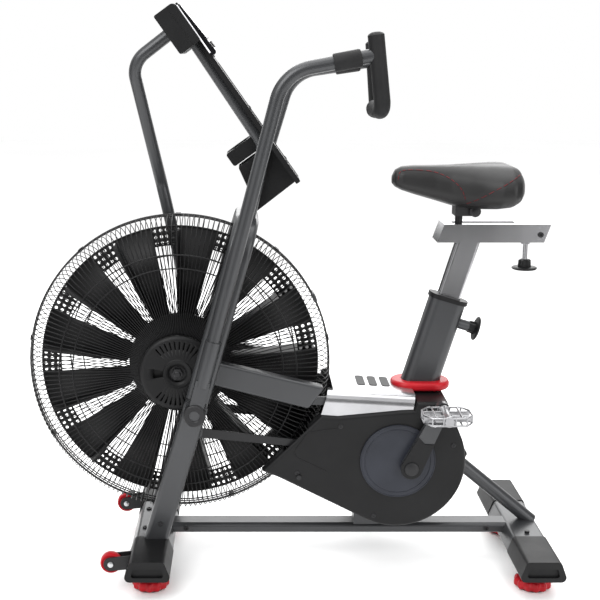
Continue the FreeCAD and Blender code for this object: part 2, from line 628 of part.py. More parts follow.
# ---------------------------------------------------------------- moving arms
def build_arm(side, sign):
    """One handlebar with its pivot pin, yoke, lever and grip, and the link rod it drives."""
    level, radius = sign * size("arm_y"), size("arm_radius")
    pivot = PIVOT + VEC(0, level, 0)
    corner = VEC(-25, level, size("arm_top"))
    along = (corner - pivot).normalize()
    grip_at = VEC(184, level, 1278)
    phase = size("right_arm_phase") if sign > 0 else 0

    tube = bent_tube("arm_tube_" + side, [pivot + along * 70, corner, grip_at], radius, size("arm_bend"))
    socket = cylinder("arm_socket_" + side, "dims.socket_radius", "112", pivot + along * 70, along)
    yoke_turn = frame_rotation(along, X_AXIS)
    yoke = block("arm_yoke_" + side, VEC(-17, -16, 8), VEC(17, 16, 84), PLACE(pivot, yoke_turn))
    outer = size("upright_outer")
    hub = cylinder("arm_hub_" + side, "25", "%f" % (204 - outer - size("gap")),
                   PIVOT + VEC(0, sign * (outer + size("gap")), 0), Y_AXIS * sign)
    lever_inner, lever_thick = size("lever_inner"), size("lever_thickness")
    pin = cylinder("arm_pin_" + side, "dims.pivot_pin_radius", "%f" % (200 - lever_inner),
                   PIVOT + VEC(0, sign * lever_inner, 0), Y_AXIS * sign)
    start = lever_inner + lever_thick if sign > 0 else -lever_inner
    lever = prism("arm_lever_" + side, "XZ_Plane", tangent_loop((0, 0), 19, (2, -size("lever_length")), 13),
                  "dims.lever_thickness", PLACE(PIVOT + VEC(0, start, 0), ROT()))
    joint_at = PIVOT + VEC(2, 0, -size("lever_length"))
    stud = cylinder("arm_stud_" + side, "6", "%f" % (lever_inner + 2 - size("rod_inner")),
                    joint_at + VEC(0, sign * size("rod_inner"), 0), Y_AXIS * sign)

    grip = bent_tube("grip_bar_" + side, [VEC(177, level, 1322), VEC(197, level, 1152),
                                          VEC(181, level - sign * 70, 1160)], size("grip_radius"), 24)
    upper = (grip_at - corner).normalize()
    collar = cylinder("grip_collar_" + side, "dims.arm_radius + 4", "62", corner + upper * 114, upper)
    core = cylinder("grip_core_" + side, "dims.arm_radius", "80", corner + upper * 108, upper)
    sleeve = cut("grip_sleeve_" + side, collar, core)

    whole = fused("arm_whole_" + side, [tube, socket, yoke, hub, pin, lever, stud])
    arm = cut("arm_" + side, whole, grip)
    grips = grouped("grip_" + side, [grip, sleeve])
    swing = PLACE(VEC(), ROT(Y_AXIS, phase), PIVOT)
    arm.Placement = swing
    grips.Placement = swing
    keep("arm_" + side, arm)
    keep("grip_" + side, grips)
    build_rod(side, sign, joint_at, swing.multVec(joint_at) - joint_at)


def build_rod(side, sign, joint_at, shift):
    """Link rod from the arm's lever to a ring around the crank's eccentric."""
    start = size("rod_inner") + size("rod_thickness") if sign > 0 else -size("rod_inner")
    bend, end = (60, 345), (232, 306)
    offset = PLACE(VEC(shift.x, start, shift.z), ROT())
    front = prism("rod_front_" + side, "XZ_Plane", tangent_loop((joint_at.x, joint_at.z), 12, bend, 8),
                  "dims.rod_thickness", offset)
    rear = prism("rod_rear_" + side, "XZ_Plane", tangent_loop(bend, 8, end, 10), "dims.rod_thickness", offset)
    ring = prism("rod_ring_" + side, "XZ_Plane", [circle(CRANK.x, CRANK.z, 71), circle(CRANK.x, CRANK.z, 60)],
                 "dims.rod_thickness", offset)
    eye = cylinder("rod_eye_" + side, "6.05", "40", joint_at + VEC(shift.x, sign * 100, shift.z), Y_AXIS * sign)
    clear = cylinder("rod_clear_" + side, "60", "40", CRANK + VEC(shift.x, sign * 100, shift.z), Y_AXIS * sign)
    keep("link_rod_" + side, cut("link_rod_" + side, fused("rod_whole_" + side, [front, rear, ring]), eye, clear))


# ---------------------------------------------------------------- covers
def edge_geometry(edge):
    """Sketch geometry of a line or arc edge."""
    start, end = edge.valueAt(edge.FirstParameter), edge.valueAt(edge.LastParameter)
    if isinstance(edge.Curve, Part.Line):
        return Part.LineSegment(start, end)
    middle = edge.valueAt((edge.FirstParameter + edge.LastParameter) / 2)
    return Part.Arc(start, middle, end)


def inset(edges, distance):
    """The same closed outline moved inwards."""
    wire = Part.Wire(Part.__sortEdges__([edge.toShape() for edge in edges]))
    return [edge_geometry(edge) for edge in wire.makeOffset2D(-distance).Edges]


def shroud_outline():
    """Teardrop around the crank: front tip, straight underside, round back, neck, cover line."""
    centre, radius = VEC(260, 306, 0), size("shroud_round")
    chin = VEC(-30, 266, 0)
    to_centre = centre - chin
    swing = math.asin(radius / to_centre.Length)
    heading = math.atan2(to_centre.y, to_centre.x) - swing
    tangent = chin + VEC(math.cos(heading), math.sin(heading), 0) * math.sqrt(to_centre.Length ** 2 - radius ** 2)
    neck = VEC(384, 440, 0)
    to_neck = neck - centre
    turn = math.atan2(to_neck.y, to_neck.x) - math.acos(radius / to_neck.Length)
    shoulder = centre + VEC(math.cos(turn), math.sin(turn), 0) * radius
    bottom = centre + VEC(math.cos(-0.75), math.sin(-0.75), 0) * radius
    chain = [shoulder, neck, VEC(378, 457, 0), VEC(304, 457, 0), VEC(297, 437, 0), VEC(268, 436, 0),
             VEC(114, 421, 0), VEC(73, 424, 0), VEC(-70, 282, 0), chin, tangent]
    edges = [Part.LineSegment(a, b) for a, b in zip(chain, chain[1:])]
    return edges + [Part.Arc(tangent, bottom, shoulder)]


def build_shroud(seat_clearance):
    outline = shroud_outline()
    body = prism("shroud_half", "XZ_Plane", outline, "dims.shroud_half_width")
    softened(body, 9, lambda edge: abs(edge.CenterOfMass.y + size("shroud_half_width")) < 0.5)
    pocketed(body, "XZ_Plane", inset(outline, size("shroud_wall")),
             "dims.shroud_half_width - dims.shroud_wall", "shroud_hollow")
    pocketed(body, "XZ_Plane", [circle(FAN.x, FAN.z, size("guard_radius") + 6)], "97", "shroud_fan_room")
    pocketed(body, "XZ_Plane", [circle(CRANK.x, CRANK.z, 13)], "dims.shroud_half_width + 1", "shroud_axle_hole")
    boot = prism("shroud_boot", "XZ_Plane", corner_edges([(396, 350, 4), (431, 327, 6), (447, 297, 8),
                 (428, 266, 6), (396, 262, 4)]), "42")
    slot = block("rod_slot", VEC(-75, -122, 332), VEC(60, -96, 392))
    neck_room = block("neck_room", VEC(120, -110, 420), VEC(306, 0, 460))
    brace_room = cylinder("brace_room", "17.5", "385", VEC(330, 0, 348), VEC(268, 0, -223))
    strut_room = block("strut_room", VEC(165.5, -25.5, 130), VEC(230.5, 1, 330))
    half = cut("shroud_left", fused("shroud_whole", [body, boot]), slot, neck_room, brace_room, strut_room,
               seat_clearance)
    keep("shroud_left", half)
    keep("shroud_right", mirrored("shroud_right", half))

    discs = []
    for side, sign in SIDES:
        start = size("shroud_half_width")
        disc = cylinder("disc_plate_" + side, "dims.disc_cover_radius", "4",
                        VEC(260.5, sign * start, 310), Y_AXIS * sign)
        hole = cylinder("disc_hole_" + side, "13", "10", CRANK + VEC(0, sign * (start - 2), 0), Y_AXIS * sign)
        discs.append(cut("disc_" + side, disc, hole))
    keep("disc_covers", grouped("disc_covers", discs))


def build_top_cover(seat_clearance):
    """Silver cover between the side beams and the seat tube, open underneath and in front."""
    def layer(name, drop, narrow, forward):
        points = [(73 - forward, 425 - drop, 0), (114, 422 - drop, 0), (268, 437 - drop, 0),
                  (296 - narrow, 438 - drop, 0), (302 - narrow, 470 - drop, 0), (90 - forward, 482 - drop, 0)]
        body = prism(name, "XZ_Plane", corner_edges(points), "2 * (118 - %f)" % narrow, middle=True)
        softened(body, 26 - narrow, lambda edge: abs(edge.CenterOfMass.y) > 114 - narrow
                 and edge.CenterOfMass.z > 465 and edge.Length > 120)
        return body

    outer = layer("cover_outer", 0, 0, 0)
    inner = layer("cover_inner", 4, 3, 12)
    fan_room = cylinder("cover_fan_room", "dims.guard_radius + 6", "194", FAN + VEC(0, -97, 0), Y_AXIS)
    collar_outline = corner_edges([(-73, -49, 44), (73, -49, 44), (73, 49, 44), (-73, 49, 44)])
    collar = prism("collar_ring", "XY_Plane", collar_outline, "22", PLACE(VEC(327, 0, 461), ROT()))
    softened(collar, 9, lambda edge: abs(edge.BoundBox.ZLength) < 0.01)
    keep("seat_collar", cut("seat_collar", collar, seat_clearance))
    keep("top_cover", cut("top_cover", outer, inner, fan_room, collar, seat_clearance))


# ---------------------------------------------------------------- seat
def build_seat():
    low, high = size("seat_beam_bottom"), size("seat_beam_top")
    front, rear = size("seat_beam_front"), size("seat_beam_rear")
    post = seat_prism("post_bar", size("post_length"), size("post_depth"), 6, SEAT_TUBE_REACH - 230, 400)
    above = block("post_above", VEC(300, -60, low + 3), VEC(700, 60, low + 200))
    post_cut = cut("post_cut", post, above)
    beam = prism("beam_outer", "XZ_Plane", corner_edges([(front, low, 0), (rear, low, 0), (rear + 15, high, 0),
                 (front + 15, high, 0)]), "2 * dims.seat_beam_half_width", middle=True)
    room = block("beam_room", VEC(374, -36, low + 4), VEC(606, 36, high - 4))
    slot = block("beam_slot", VEC(392, -13, high - 10), VEC(545, 13, high + 10))
    screw_hole = cylinder("screw_hole", "6.05", "12", VEC(575, 0, low - 4))
    beam_cut = cut("beam_cut", beam, room, slot, screw_hole)
    keep("seat_post", fused("seat_post", [post_cut, beam_cut]))

    slider = block("slider_plate", VEC(384, -35.5, low + 4.5), VEC(524, 35.5, high - 4.5))
    stem = cylinder("slider_stem", "9", "40", VEC(409, 0, high - 12))
    clamp = block("slider_clamp", VEC(396, -24, high + 18), VEC(438, 24, high + 44))
    ear = cylinder("slider_ear", "11", "56", VEC(443, -28, high + 30), Y_AXIS)
    keep("saddle_clamp", fused("saddle_clamp", [slider, stem, clamp, ear]))

    sections = ((245, 18, 968, 1008), (300, 27, 958, 1017), (380, 42, 944, 1018), (450, 95, 930, 1020),
                (505, 124, 925, 1021), (550, 96, 938, 1008), (562, 50, 955, 995))
    wires = []
    for along, half_width, bottom, top in sections:
        middle = (bottom + top) / 2
        ellipse = Part.Ellipse(VEC(0, 0, 0), half_width, (top - bottom) / 2) if half_width > (top - bottom) / 2 \
            else Part.Ellipse(VEC(0, 0, 0), (top - bottom) / 2, half_width)
        wire = Part.Wire([ellipse.toShape()])
        spin = ROT(Z_AXIS, 0) if half_width > (top - bottom) / 2 else ROT(Z_AXIS, 90)
        wire.Placement = PLACE(VEC(along, 0, middle), ROT(Y_AXIS, Z_AXIS, X_AXIS, "ZXY").multiply(spin))
        wires.append(wire)
    keep("saddle", shaped("saddle", Part.makeLoft(wires, True, False)))

    low_screw = VEC(575, 0, 762)
    knob = [cylinder("clamp_flange", "31", "6", low_screw), cylinder("clamp_hub", "16", "26", low_screw),
            cylinder("clamp_screw", "6", "76", low_screw)]
    keep("slide_knob", fused("slide_knob", knob))

    back = VEC(SEAT_TURN.multVec(X_AXIS))
    axis_point = SEAT_BASE + SEAT_AXIS * 320
    pin_start = size("post_length") / 2 + 1
    knob = [cylinder("pin_rod", "6", "50", axis_point + back * pin_start, back),
            cylinder("pin_hub", "16", "14", axis_point + back * 74, back),
            cylinder("pin_flange", "30", "6", axis_point + back * 84, back)]
    keep("height_knob", fused("height_knob", knob))


# ---------------------------------------------------------------- console
CONSOLE = PLACE(VEC(-274, 0, 1397), ROT(Y_AXIS, 54.5))


def build_console():
    box = prism("console_box", "XZ_Plane", corner_edges([(2, -57, 4), (106, -57, 4), (106, 0, 4), (2, 0, 12)]),
                "190", CONSOLE, middle=True)
    box = cut("console_body", box, NODES["console_mast"], NODES["console_stay"])
    keep("console_body", box)
    display = prism("display_wedge", "XZ_Plane", corner_edges([(7, 0, 0), (150, 0, 3), (152, 15, 7), (7, 5, 2)]),
                    "164", CONSOLE, middle=True)
    wells, buttons = [], []
    for side, sign in SIDES:
        well = cylinder("button_well_" + side, "8.3", "20", VEC(128, sign * 30, 6))
        well.Placement = CONSOLE.multiply(well.Placement)
        wells.append(well)
        button = cylinder("button_cap_" + side, "8", "8", VEC(128, sign * 30, 8.5))
        button.Placement = CONSOLE.multiply(button.Placement)
        buttons.append(button)
        keep("button_" + side, button)
    keep("console_display", cut("console_display", display, *wells))
    panel = prism("panel_plate", "XZ_Plane", corner_edges([(106, -12, 0), (507, -12, 3), (507, 0, 3),
                  (106, 0, 0)]), "120", CONSOLE, middle=True)
    keep("console_panel", cut("console_panel", panel, NODES["console_stay"]))

    near, far = 17, 93
    axis_y, axis_z = (near + far) / 2, -74
    ring = prism("holder_ring", "XZ_Plane", corner_edges([(358, -113, 6), (394, -113, 6), (394, -12, 0),
                 (358, -12, 0)]), "%f" % (far - near), CONSOLE.multiply(PLACE(VEC(0, far, 0), ROT())))
    cup = prism("holder_cup", "XZ_Plane", corner_edges([(401, -106, 4), (452, -116, 30), (514, -134, 3),
                (509, -12, 0), (401, -12, 0)]), "%f" % (far - near),
                CONSOLE.multiply(PLACE(VEC(0, far, 0), ROT())))
    bore = cylinder("holder_bore", "34.5", "155", VEC(350, axis_y, axis_z), X_AXIS)
    bore.Placement = CONSOLE.multiply(bore.Placement)
    keep("bottle_holder", grouped("bottle_holder", [cut("ring_cut", ring, bore), cut("cup_cut", cup, bore)]))


# ---------------------------------------------------------------- small hardware
def build_wheels():
    radius, width = size("wheel_radius"), size("wheel_width")
    brackets = []
    for side, sign in SIDES:
        centre = VEC(-size("wheel_x"), sign * size("wheel_y"), size("wheel_height"))
        wheel = turned("wheel_" + side, [(5.05, -width / 2), (radius - 3, -width / 2), (radius, 3 - width / 2),
                       (radius, width / 2 - 3), (radius - 3, width / 2), (5.05, width / 2)],
                       PLACE(centre, ALONG_Y))
        keep("wheel_" + side, wheel)
        for name, offset in (("in", -1), ("out", 1)):
            start = centre.y + offset * (width / 2 + 2.5) + 2
            plate = prism("bracket_%s_%s" % (side, name), "XZ_Plane",
                          tangent_loop((centre.x, centre.z), 17, (centre.x + 56, centre.z + 6), 17), "4",
                          PLACE(VEC(0, start, 0), ROT()))
            brackets.append(plate)
        brackets.append(cylinder("wheel_pin_" + side, "5", "%f" % (width + 11),
                                 centre + VEC(0, -width / 2 - 5.5, 0), Y_AXIS))
    keep("wheel_brackets", cut("wheel_brackets", fused("bracket_whole", brackets), NODES["stabilizer_end_caps"]))


def build_bolts():
    """Round-head bolts that show on the frame, as one group."""
    half = size("stab_half_length") - size("cap_length")
    spots = []
    for sign in (-1, 1):
        spots += [(VEC(-size("front_stab_x") + 24, sign * 134, 150), Y_AXIS * sign)]
        spots += [(VEC(size("rear_stab_x"), sign * (half - 26), size("stab_top")), Z_AXIS)]
        spots += [(VEC(20, sign * size("shroud_half_width"), 268), Y_AXIS * sign)]
    heads = []
    for index, (at, direction) in enumerate(spots):
        head = cylinder("bolt_%d" % index, "6", "6", at, direction)
        heads.append(cut("bolt_head_%d" % index, head, NODES["upright_left"], NODES["upright_right"]))
    keep("frame_bolts", grouped("frame_bolts", heads))


build_base()
build_uprights()
build_bow()
build_side_beams()
build_console_tubes()
seat_outer = build_main_frame()
clearance = seat_prism("seat_clearance", size("seat_tube_length") + 1, size("seat_tube_depth") + 1, 24, -40,
                       SEAT_TUBE_REACH + 20)
build_fan()
build_guard()
build_drive()
for side_name, side_sign in SIDES:
    build_arm(side_name, side_sign)
build_shroud(clearance)
build_top_cover(clearance)
build_seat()
build_console()
build_wheels()
build_bolts()
doc.recompute()

failed = [item.Name for item in doc.Objects if "Invalid" in item.State or "Error" in item.State]
if failed:
    raise RuntimeError("features failed: %s" % ", ".join(failed))
os.makedirs("parts", exist_ok=True)
for node, feature in NODES.items():
    shape = feature.Shape
    if shape.isNull() or not shape.isValid() or not shape.Solids:
        raise RuntimeError("node %s has no valid solid" % node)
    shape.exportStep("parts/%s.step" % node)
print(len(NODES), "nodes written")
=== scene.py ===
"""Looks for the air bike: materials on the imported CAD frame, and detailed pieces that ride on it.

Units are metres and the frame is the CAD's: +Z up, the rider faces -X, the near side is -Y.
Lengths written in millimetres go through mm() or MM.
"""

import json
import math

import bmesh
import bpy
from mathutils import Matrix, Vector
from mathutils.bvhtree import BVHTree


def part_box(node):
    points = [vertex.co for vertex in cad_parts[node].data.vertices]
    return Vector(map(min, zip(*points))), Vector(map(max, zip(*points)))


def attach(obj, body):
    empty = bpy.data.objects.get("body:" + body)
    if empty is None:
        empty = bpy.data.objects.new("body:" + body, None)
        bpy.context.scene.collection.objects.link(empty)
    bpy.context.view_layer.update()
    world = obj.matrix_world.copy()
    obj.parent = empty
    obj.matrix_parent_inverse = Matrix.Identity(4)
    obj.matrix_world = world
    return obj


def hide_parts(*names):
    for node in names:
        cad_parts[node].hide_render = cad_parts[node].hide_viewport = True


MM = 0.001
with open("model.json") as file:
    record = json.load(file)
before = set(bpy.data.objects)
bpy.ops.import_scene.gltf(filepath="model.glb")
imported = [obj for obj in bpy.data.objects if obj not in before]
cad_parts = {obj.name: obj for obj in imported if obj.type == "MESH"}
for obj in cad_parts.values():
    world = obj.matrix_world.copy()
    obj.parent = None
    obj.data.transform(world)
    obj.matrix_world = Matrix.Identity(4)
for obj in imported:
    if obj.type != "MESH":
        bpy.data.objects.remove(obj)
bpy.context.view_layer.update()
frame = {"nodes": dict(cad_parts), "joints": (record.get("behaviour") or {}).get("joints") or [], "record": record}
NODES = frame["nodes"]
RECORD = frame["record"]
SIDES = (("left", -1), ("right", 1))


def mm(x, y, z):
    """A point given in millimetres."""
    return Vector((x, y, z)) * MM


def middle(node):
    """Centre of a CAD node's box at rest."""
    low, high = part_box(node)
    return (low + high) / 2


def joint_place(name):
    """A joint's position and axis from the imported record."""
    joint = next(j for j in frame["joints"] if j["name"] == name)
    return Vector(joint.get("pos_m", (0, 0, 0))), Vector(joint["axis"])


FAN = Vector((middle("guard_left").x, 0, middle("guard_left").z))
CRANK = joint_place("crank_spin")[0]
RIGHT_ARM_PHASE = 2.2   # degrees about +Y that the right arm stands ahead of the left
PIVOT = Vector((joint_place("arm_left_swing")[0].x, 0, joint_place("arm_left_swing")[0].z))


# ---------------------------------------------------------------- materials
class Nodes:
    """Small wrapper that adds and links shader nodes."""

    def __init__(self, name):
        self.material = bpy.data.materials.new(name)
        self.material.use_nodes = True
        self.tree = self.material.node_tree
        self.shader = self.tree.nodes["Principled BSDF"]
        self.place = self.add("ShaderNodeTexCoord").outputs["Object"]

    def add(self, kind, **values):
        node = self.tree.nodes.new(kind)
        for key, value in values.items():
            if hasattr(node, key):
                setattr(node, key, value)
            else:
                node.inputs[key].default_value = value
        return node

    def link(self, source, target):
        self.tree.links.new(source, target)

    def noise(self, scale, detail=3.0, stretch=None):
        node = self.add("ShaderNodeTexNoise", Scale=scale, Detail=detail)
        source = self.place
        if stretch:
            mapping = self.add("ShaderNodeMapping")
            mapping.inputs["Scale"].default_value = stretch
            self.link(source, mapping.inputs["Vector"])
            source = mapping.outputs["Vector"]
        self.link(source, node.inputs["Vector"])
        return node.outputs["Fac"]

    def ramp(self, source, dark, light, low=0.35, high=0.65):
        node = self.add("ShaderNodeValToRGB")
        node.color_ramp.elements[0].position = low
        node.color_ramp.elements[1].position = high
        node.color_ramp.elements[0].color = (*dark, 1)
        node.color_ramp.elements[1].color = (*light, 1)
        self.link(source, node.inputs["Fac"])
        return node.outputs["Color"]

    def span(self, source, low, high):
        node = self.add("ShaderNodeMapRange")
        node.inputs["To Min"].default_value = low
        node.inputs["To Max"].default_value = high
        self.link(source, node.inputs["Value"])
        return node.outputs["Result"]

    def mix(self, factor, first, second):
        node = self.add("ShaderNodeMix", data_type="RGBA")
        self.link(factor, node.inputs[0])
        self.link(first, node.inputs[6])
        if isinstance(second, tuple):
            node.inputs[7].default_value = (*second, 1)
        else:
            self.link(second, node.inputs[7])
        return node.outputs[2]

    def bump(self, source, strength, distance):
        node = self.add("ShaderNodeBump", Strength=strength, Distance=distance)
        self.link(source, node.inputs["Height"])
        self.link(node.outputs["Normal"], self.shader.inputs["Normal"])

    def edge_wear(self, radius):
        """White where the surface turns sharply, from rounded against true normals."""
        rounded = self.add("ShaderNodeBevel", samples=4)
        rounded.inputs["Radius"].default_value = radius
        geometry = self.add("ShaderNodeNewGeometry")
        dot = self.add("ShaderNodeVectorMath", operation="DOT_PRODUCT")
        self.link(rounded.outputs["Normal"], dot.inputs[0])
        self.link(geometry.outputs["Normal"], dot.inputs[1])
        worn = self.add("ShaderNodeMapRange")
        worn.inputs["From Min"].default_value = 0.97
        worn.inputs["From Max"].default_value = 0.80
        self.link(dot.outputs["Value"], worn.inputs["Value"])
        return worn.outputs["Result"]

    def settle(self, **constants):
        for key, value in constants.items():
            self.shader.inputs[key.replace("_", " ")].default_value = value


def shade(color, factor):
    return tuple(min(1.0, channel * factor) for channel in color)


def paint(name, color, rough, metallic=0.0, coat=0.0, flake=0.0, wear=0.25, gloss=0.45):
    """Sprayed paint: slight mottling, orange-peel bump, brighter worn edges."""
    m = Nodes(name)
    tone = m.ramp(m.noise(7), shade(color, 0.90), shade(color, 1.10))
    if flake:
        speck = m.span(m.noise(2600, 0), 0, flake)
        tone = m.mix(speck, tone, shade(color, 2.2))
    worn = m.add("ShaderNodeMath", operation="MULTIPLY")
    m.link(m.edge_wear(0.0012), worn.inputs[0])
    worn.inputs[1].default_value = wear
    tone = m.mix(worn.outputs[0], tone, shade(color, 1.9))
    m.link(tone, m.shader.inputs["Base Color"])
    m.link(m.span(m.noise(24), rough - 0.05, rough + 0.07), m.shader.inputs["Roughness"])
    m.bump(m.noise(420, 2), 0.06, 0.0004)
    m.settle(Metallic=metallic, Coat_Weight=coat, Coat_Roughness=0.18, Specular_IOR_Level=gloss)
    return m.material


def plastic(name, color, rough, grain=900.0, depth=0.05):
    """Moulded plastic with fine grain and faint tone changes."""
    m = Nodes(name)
    tone = m.ramp(m.noise(11), shade(color, 0.86), shade(color, 1.14))
    m.link(tone, m.shader.inputs["Base Color"])
    m.link(m.span(m.noise(30, 4), rough - 0.06, rough + 0.06), m.shader.inputs["Roughness"])
    m.bump(m.noise(grain, 2), depth, 0.0005)
    m.settle(Specular_IOR_Level=0.20)
    return m.material


def bare_metal(name, color, rough, stretch, depth=0.03):
    """Polished or brushed metal: streaks along one direction and faint smudges."""
    m = Nodes(name)
    streaks = m.noise(60, 6, stretch)
    m.link(m.ramp(streaks, shade(color, 0.93), color), m.shader.inputs["Base Color"])
    smudge = m.span(m.noise(9, 4), rough, rough + 0.09)
    m.link(smudge, m.shader.inputs["Roughness"])
    m.bump(streaks, depth, 0.0003)
    m.settle(Metallic=1.0)
    return m.material


def rubber(name, color, rough, scale=700.0, depth=0.35):
    """Foam or rubber: pebbled surface and a soft sheen."""
    m = Nodes(name)
    cells = m.add("ShaderNodeTexVoronoi", Scale=scale)
    m.link(m.place, cells.inputs["Vector"])
    m.link(m.ramp(m.noise(16), shade(color, 0.8), shade(color, 1.25)), m.shader.inputs["Base Color"])
    m.link(m.span(m.noise(40), rough - 0.05, rough + 0.05), m.shader.inputs["Roughness"])
    m.bump(cells.outputs["Distance"], depth, 0.0006)
    m.settle(Sheen_Weight=0.02, Sheen_Roughness=0.5, Specular_IOR_Level=0.25)
    return m.material


def leatherette(name, color):
    """Coated cover fabric: leather grain from one cell size, bumped along the cell edges."""
    m = Nodes(name)
    coarse = m.add("ShaderNodeTexVoronoi", Scale=420.0, feature="DISTANCE_TO_EDGE")
    m.link(m.place, coarse.inputs["Vector"])
    m.link(m.ramp(m.noise(9), shade(color, 0.8), shade(color, 1.3)), m.shader.inputs["Base Color"])
    m.link(m.span(m.noise(55), 0.40, 0.52), m.shader.inputs["Roughness"])
    crease = m.span(coarse.outputs["Distance"], 0, 1)
    m.bump(crease, 0.35, 0.0006)
    m.settle(Specular_IOR_Level=0.38)
    return m.material


def dark_glass(name):
    m = Nodes(name)
    m.link(m.ramp(m.noise(5), (0.010, 0.011, 0.014), (0.016, 0.018, 0.022)), m.shader.inputs["Base Color"])
    m.link(m.span(m.noise(20), 0.05, 0.10), m.shader.inputs["Roughness"])
    m.settle(Coat_Weight=0.6, Coat_Roughness=0.04)
    return m.material


MATERIALS = {
    "frame_grey": paint("frame_grey", (0.030, 0.031, 0.033), 0.34, metallic=0.35, coat=0.15, flake=0.35),
    "fan_black": paint("fan_black", (0.0040, 0.0040, 0.0043), 0.45, gloss=0.22),
    "wire_black": paint("wire_black", (0.0045, 0.0045, 0.0050), 0.40, wear=0.0, gloss=0.25),
    "cover_black": plastic("cover_black", (0.0060, 0.0060, 0.0064), 0.46),
    "disc_slate": plastic("disc_slate", (0.020, 0.022, 0.029), 0.34, grain=500),
    "cover_silver": paint("cover_silver", (0.38, 0.38, 0.39), 0.20, metallic=0.8, coat=0.3, wear=0.0),
    "red_plastic": plastic("red_plastic", (0.36, 0.008, 0.014), 0.33, depth=0.03),
    "chrome": bare_metal("chrome", (0.38, 0.38, 0.39), 0.14, (1, 1, 0.1)),
    "steel": bare_metal("steel", (0.55, 0.56, 0.57), 0.28, (1, 1, 0.2), 0.08),
    "dark_steel": paint("dark_steel", (0.011, 0.011, 0.012), 0.40, gloss=0.3),
    "pedal_silver": bare_metal("pedal_silver", (0.36, 0.36, 0.37), 0.30, (1, 0.3, 1), 0.10),
    "grip_rubber": rubber("grip_rubber", (0.0065, 0.0065, 0.0070), 0.62),
    "belt_rubber": rubber("belt_rubber", (0.018, 0.018, 0.018), 0.6),
    "display_black": plastic("display_black", (0.006, 0.006, 0.007), 0.22, depth=0.02),
    "saddle_leather": leatherette("saddle_leather", (0.0060, 0.0058, 0.0060)),
}
THREAD = plastic("red_thread", (0.17, 0.006, 0.010), 0.55, grain=1500)
LENS = dark_glass("display_lens")
LIGHT_STRIP = plastic("light_strip", (0.75, 0.75, 0.77), 0.35, depth=0.03)


def dress_nodes():
    """Gives every CAD node the material of its record slot and clean shading."""
    for entry in RECORD["subparts"]:
        node = NODES[entry["node"]]
        node.data.materials.clear()
        node.data.materials.append(MATERIALS[entry["material_slot"]])
        node.data.set_sharp_from_angle(angle=math.radians(32))
        for polygon in node.data.polygons:
            polygon.use_smooth = True


# ---------------------------------------------------------------- mesh helpers
def finish_piece(obj, body, material):
    """Material, slot and body for a made piece."""
    obj.data.materials.clear()
    obj.data.materials.append(MATERIALS[material] if isinstance(material, str) else material)
    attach(obj, body)
    return obj


def new_object(name, data):
    obj = bpy.data.objects.new(name, data)
    bpy.context.scene.collection.objects.link(obj)
    return obj


def mesh_object(name, verts, faces, smooth_angle=35, merge=False):
    mesh = bpy.data.meshes.new(name)
    mesh.from_pydata([tuple(v) for v in verts], [], faces)
    work = bmesh.new()
    work.from_mesh(mesh)
    if merge:
        bmesh.ops.remove_doubles(work, verts=work.verts, dist=0.00002)
    bmesh.ops.recalc_face_normals(work, faces=work.faces)
    work.to_mesh(mesh)
    work.free()
    for polygon in mesh.polygons:
        polygon.use_smooth = True
    mesh.set_sharp_from_angle(angle=math.radians(smooth_angle))
    return new_object(name, mesh)


def bevelled(obj, width, segments=3, angle=40):
    modifier = obj.modifiers.new("edge_bevel", "BEVEL")
    modifier.width = width
    modifier.segments = segments
    modifier.limit_method = "ANGLE"
    modifier.angle_limit = math.radians(angle)
    return obj


def solid_outline(name, outline, depth, matrix, bevel=0.0):
    """Prism of a 2-D outline (metres) along local Z from 0 to depth, placed by matrix."""
    count = len(outline)
    verts = [matrix @ Vector((u, v, 0)) for u, v in outline]
    verts += [matrix @ Vector((u, v, depth)) for u, v in outline]
    faces = [tuple(reversed(range(count))), tuple(range(count, 2 * count))]
    faces += [(i, (i + 1) % count, count + (i + 1) % count, count + i) for i in range(count)]
    obj = mesh_object(name, verts, faces)
    return bevelled(obj, bevel) if bevel else obj


def rounded_outline(width, height, radius, steps=6):
    """Centred rounded rectangle as points."""
    points = []
    for index, (sx, sy) in enumerate(((1, 1), (-1, 1), (-1, -1), (1, -1))):
        centre = ((width / 2 - radius) * sx, (height / 2 - radius) * sy)
        for step in range(steps + 1):
            angle = math.pi / 2 * (index + step / steps)
            points.append((centre[0] + radius * math.cos(angle), centre[1] + radius * math.sin(angle)))
    return points


def hexagon(radius):
    """Corners of a six-sided nut."""
    return [(radius * math.cos(math.pi / 3 * k), radius * math.sin(math.pi / 3 * k)) for k in range(6)]


def lathe(name, profile, matrix, segments=64, warp=None):
    """Turned solid from (radius, height) pairs about local Z; warp(angle, radius) can reshape the rim."""
    verts, faces = [], []
    for step in range(segments):
        angle = 2 * math.pi * step / segments
        for radius, height in profile:
            reach = warp(angle, radius) if warp else radius
            verts.append(matrix @ Vector((reach * math.cos(angle), reach * math.sin(angle), height)))
    rows = len(profile)
    for step in range(segments):
        here, there = step * rows, (step + 1) % segments * rows
        for row in range(rows - 1):
            faces.append((here + row, there + row, there + row + 1, here + row + 1))
    for row in (0, rows - 1):
        if profile[row][0] > 0:
            faces.append(tuple(step * rows + row for step in range(segments)))
    obj = mesh_object(name, verts, faces)
    if profile[0][0] == 0 or profile[-1][0] == 0:
        weld = obj.modifiers.new("weld", "WELD")
        weld.merge_threshold = 0.00001
    return obj


def wires(name, paths, radius, closed=False, resolution=2):
    """Round wires along point paths, all in one curve object."""
    curve = bpy.data.curves.new(name, "CURVE")
    curve.dimensions = "3D"
    curve.bevel_depth = radius
    curve.bevel_resolution = resolution
    curve.use_fill_caps = True
    for path in paths:
        spline = curve.splines.new("POLY")
        spline.points.add(len(path) - 1)
        for point, place in zip(spline.points, path):
            point.co = (*place, 1)
        spline.use_cyclic_u = closed
        spline.use_smooth = True
    return new_object(name, curve)


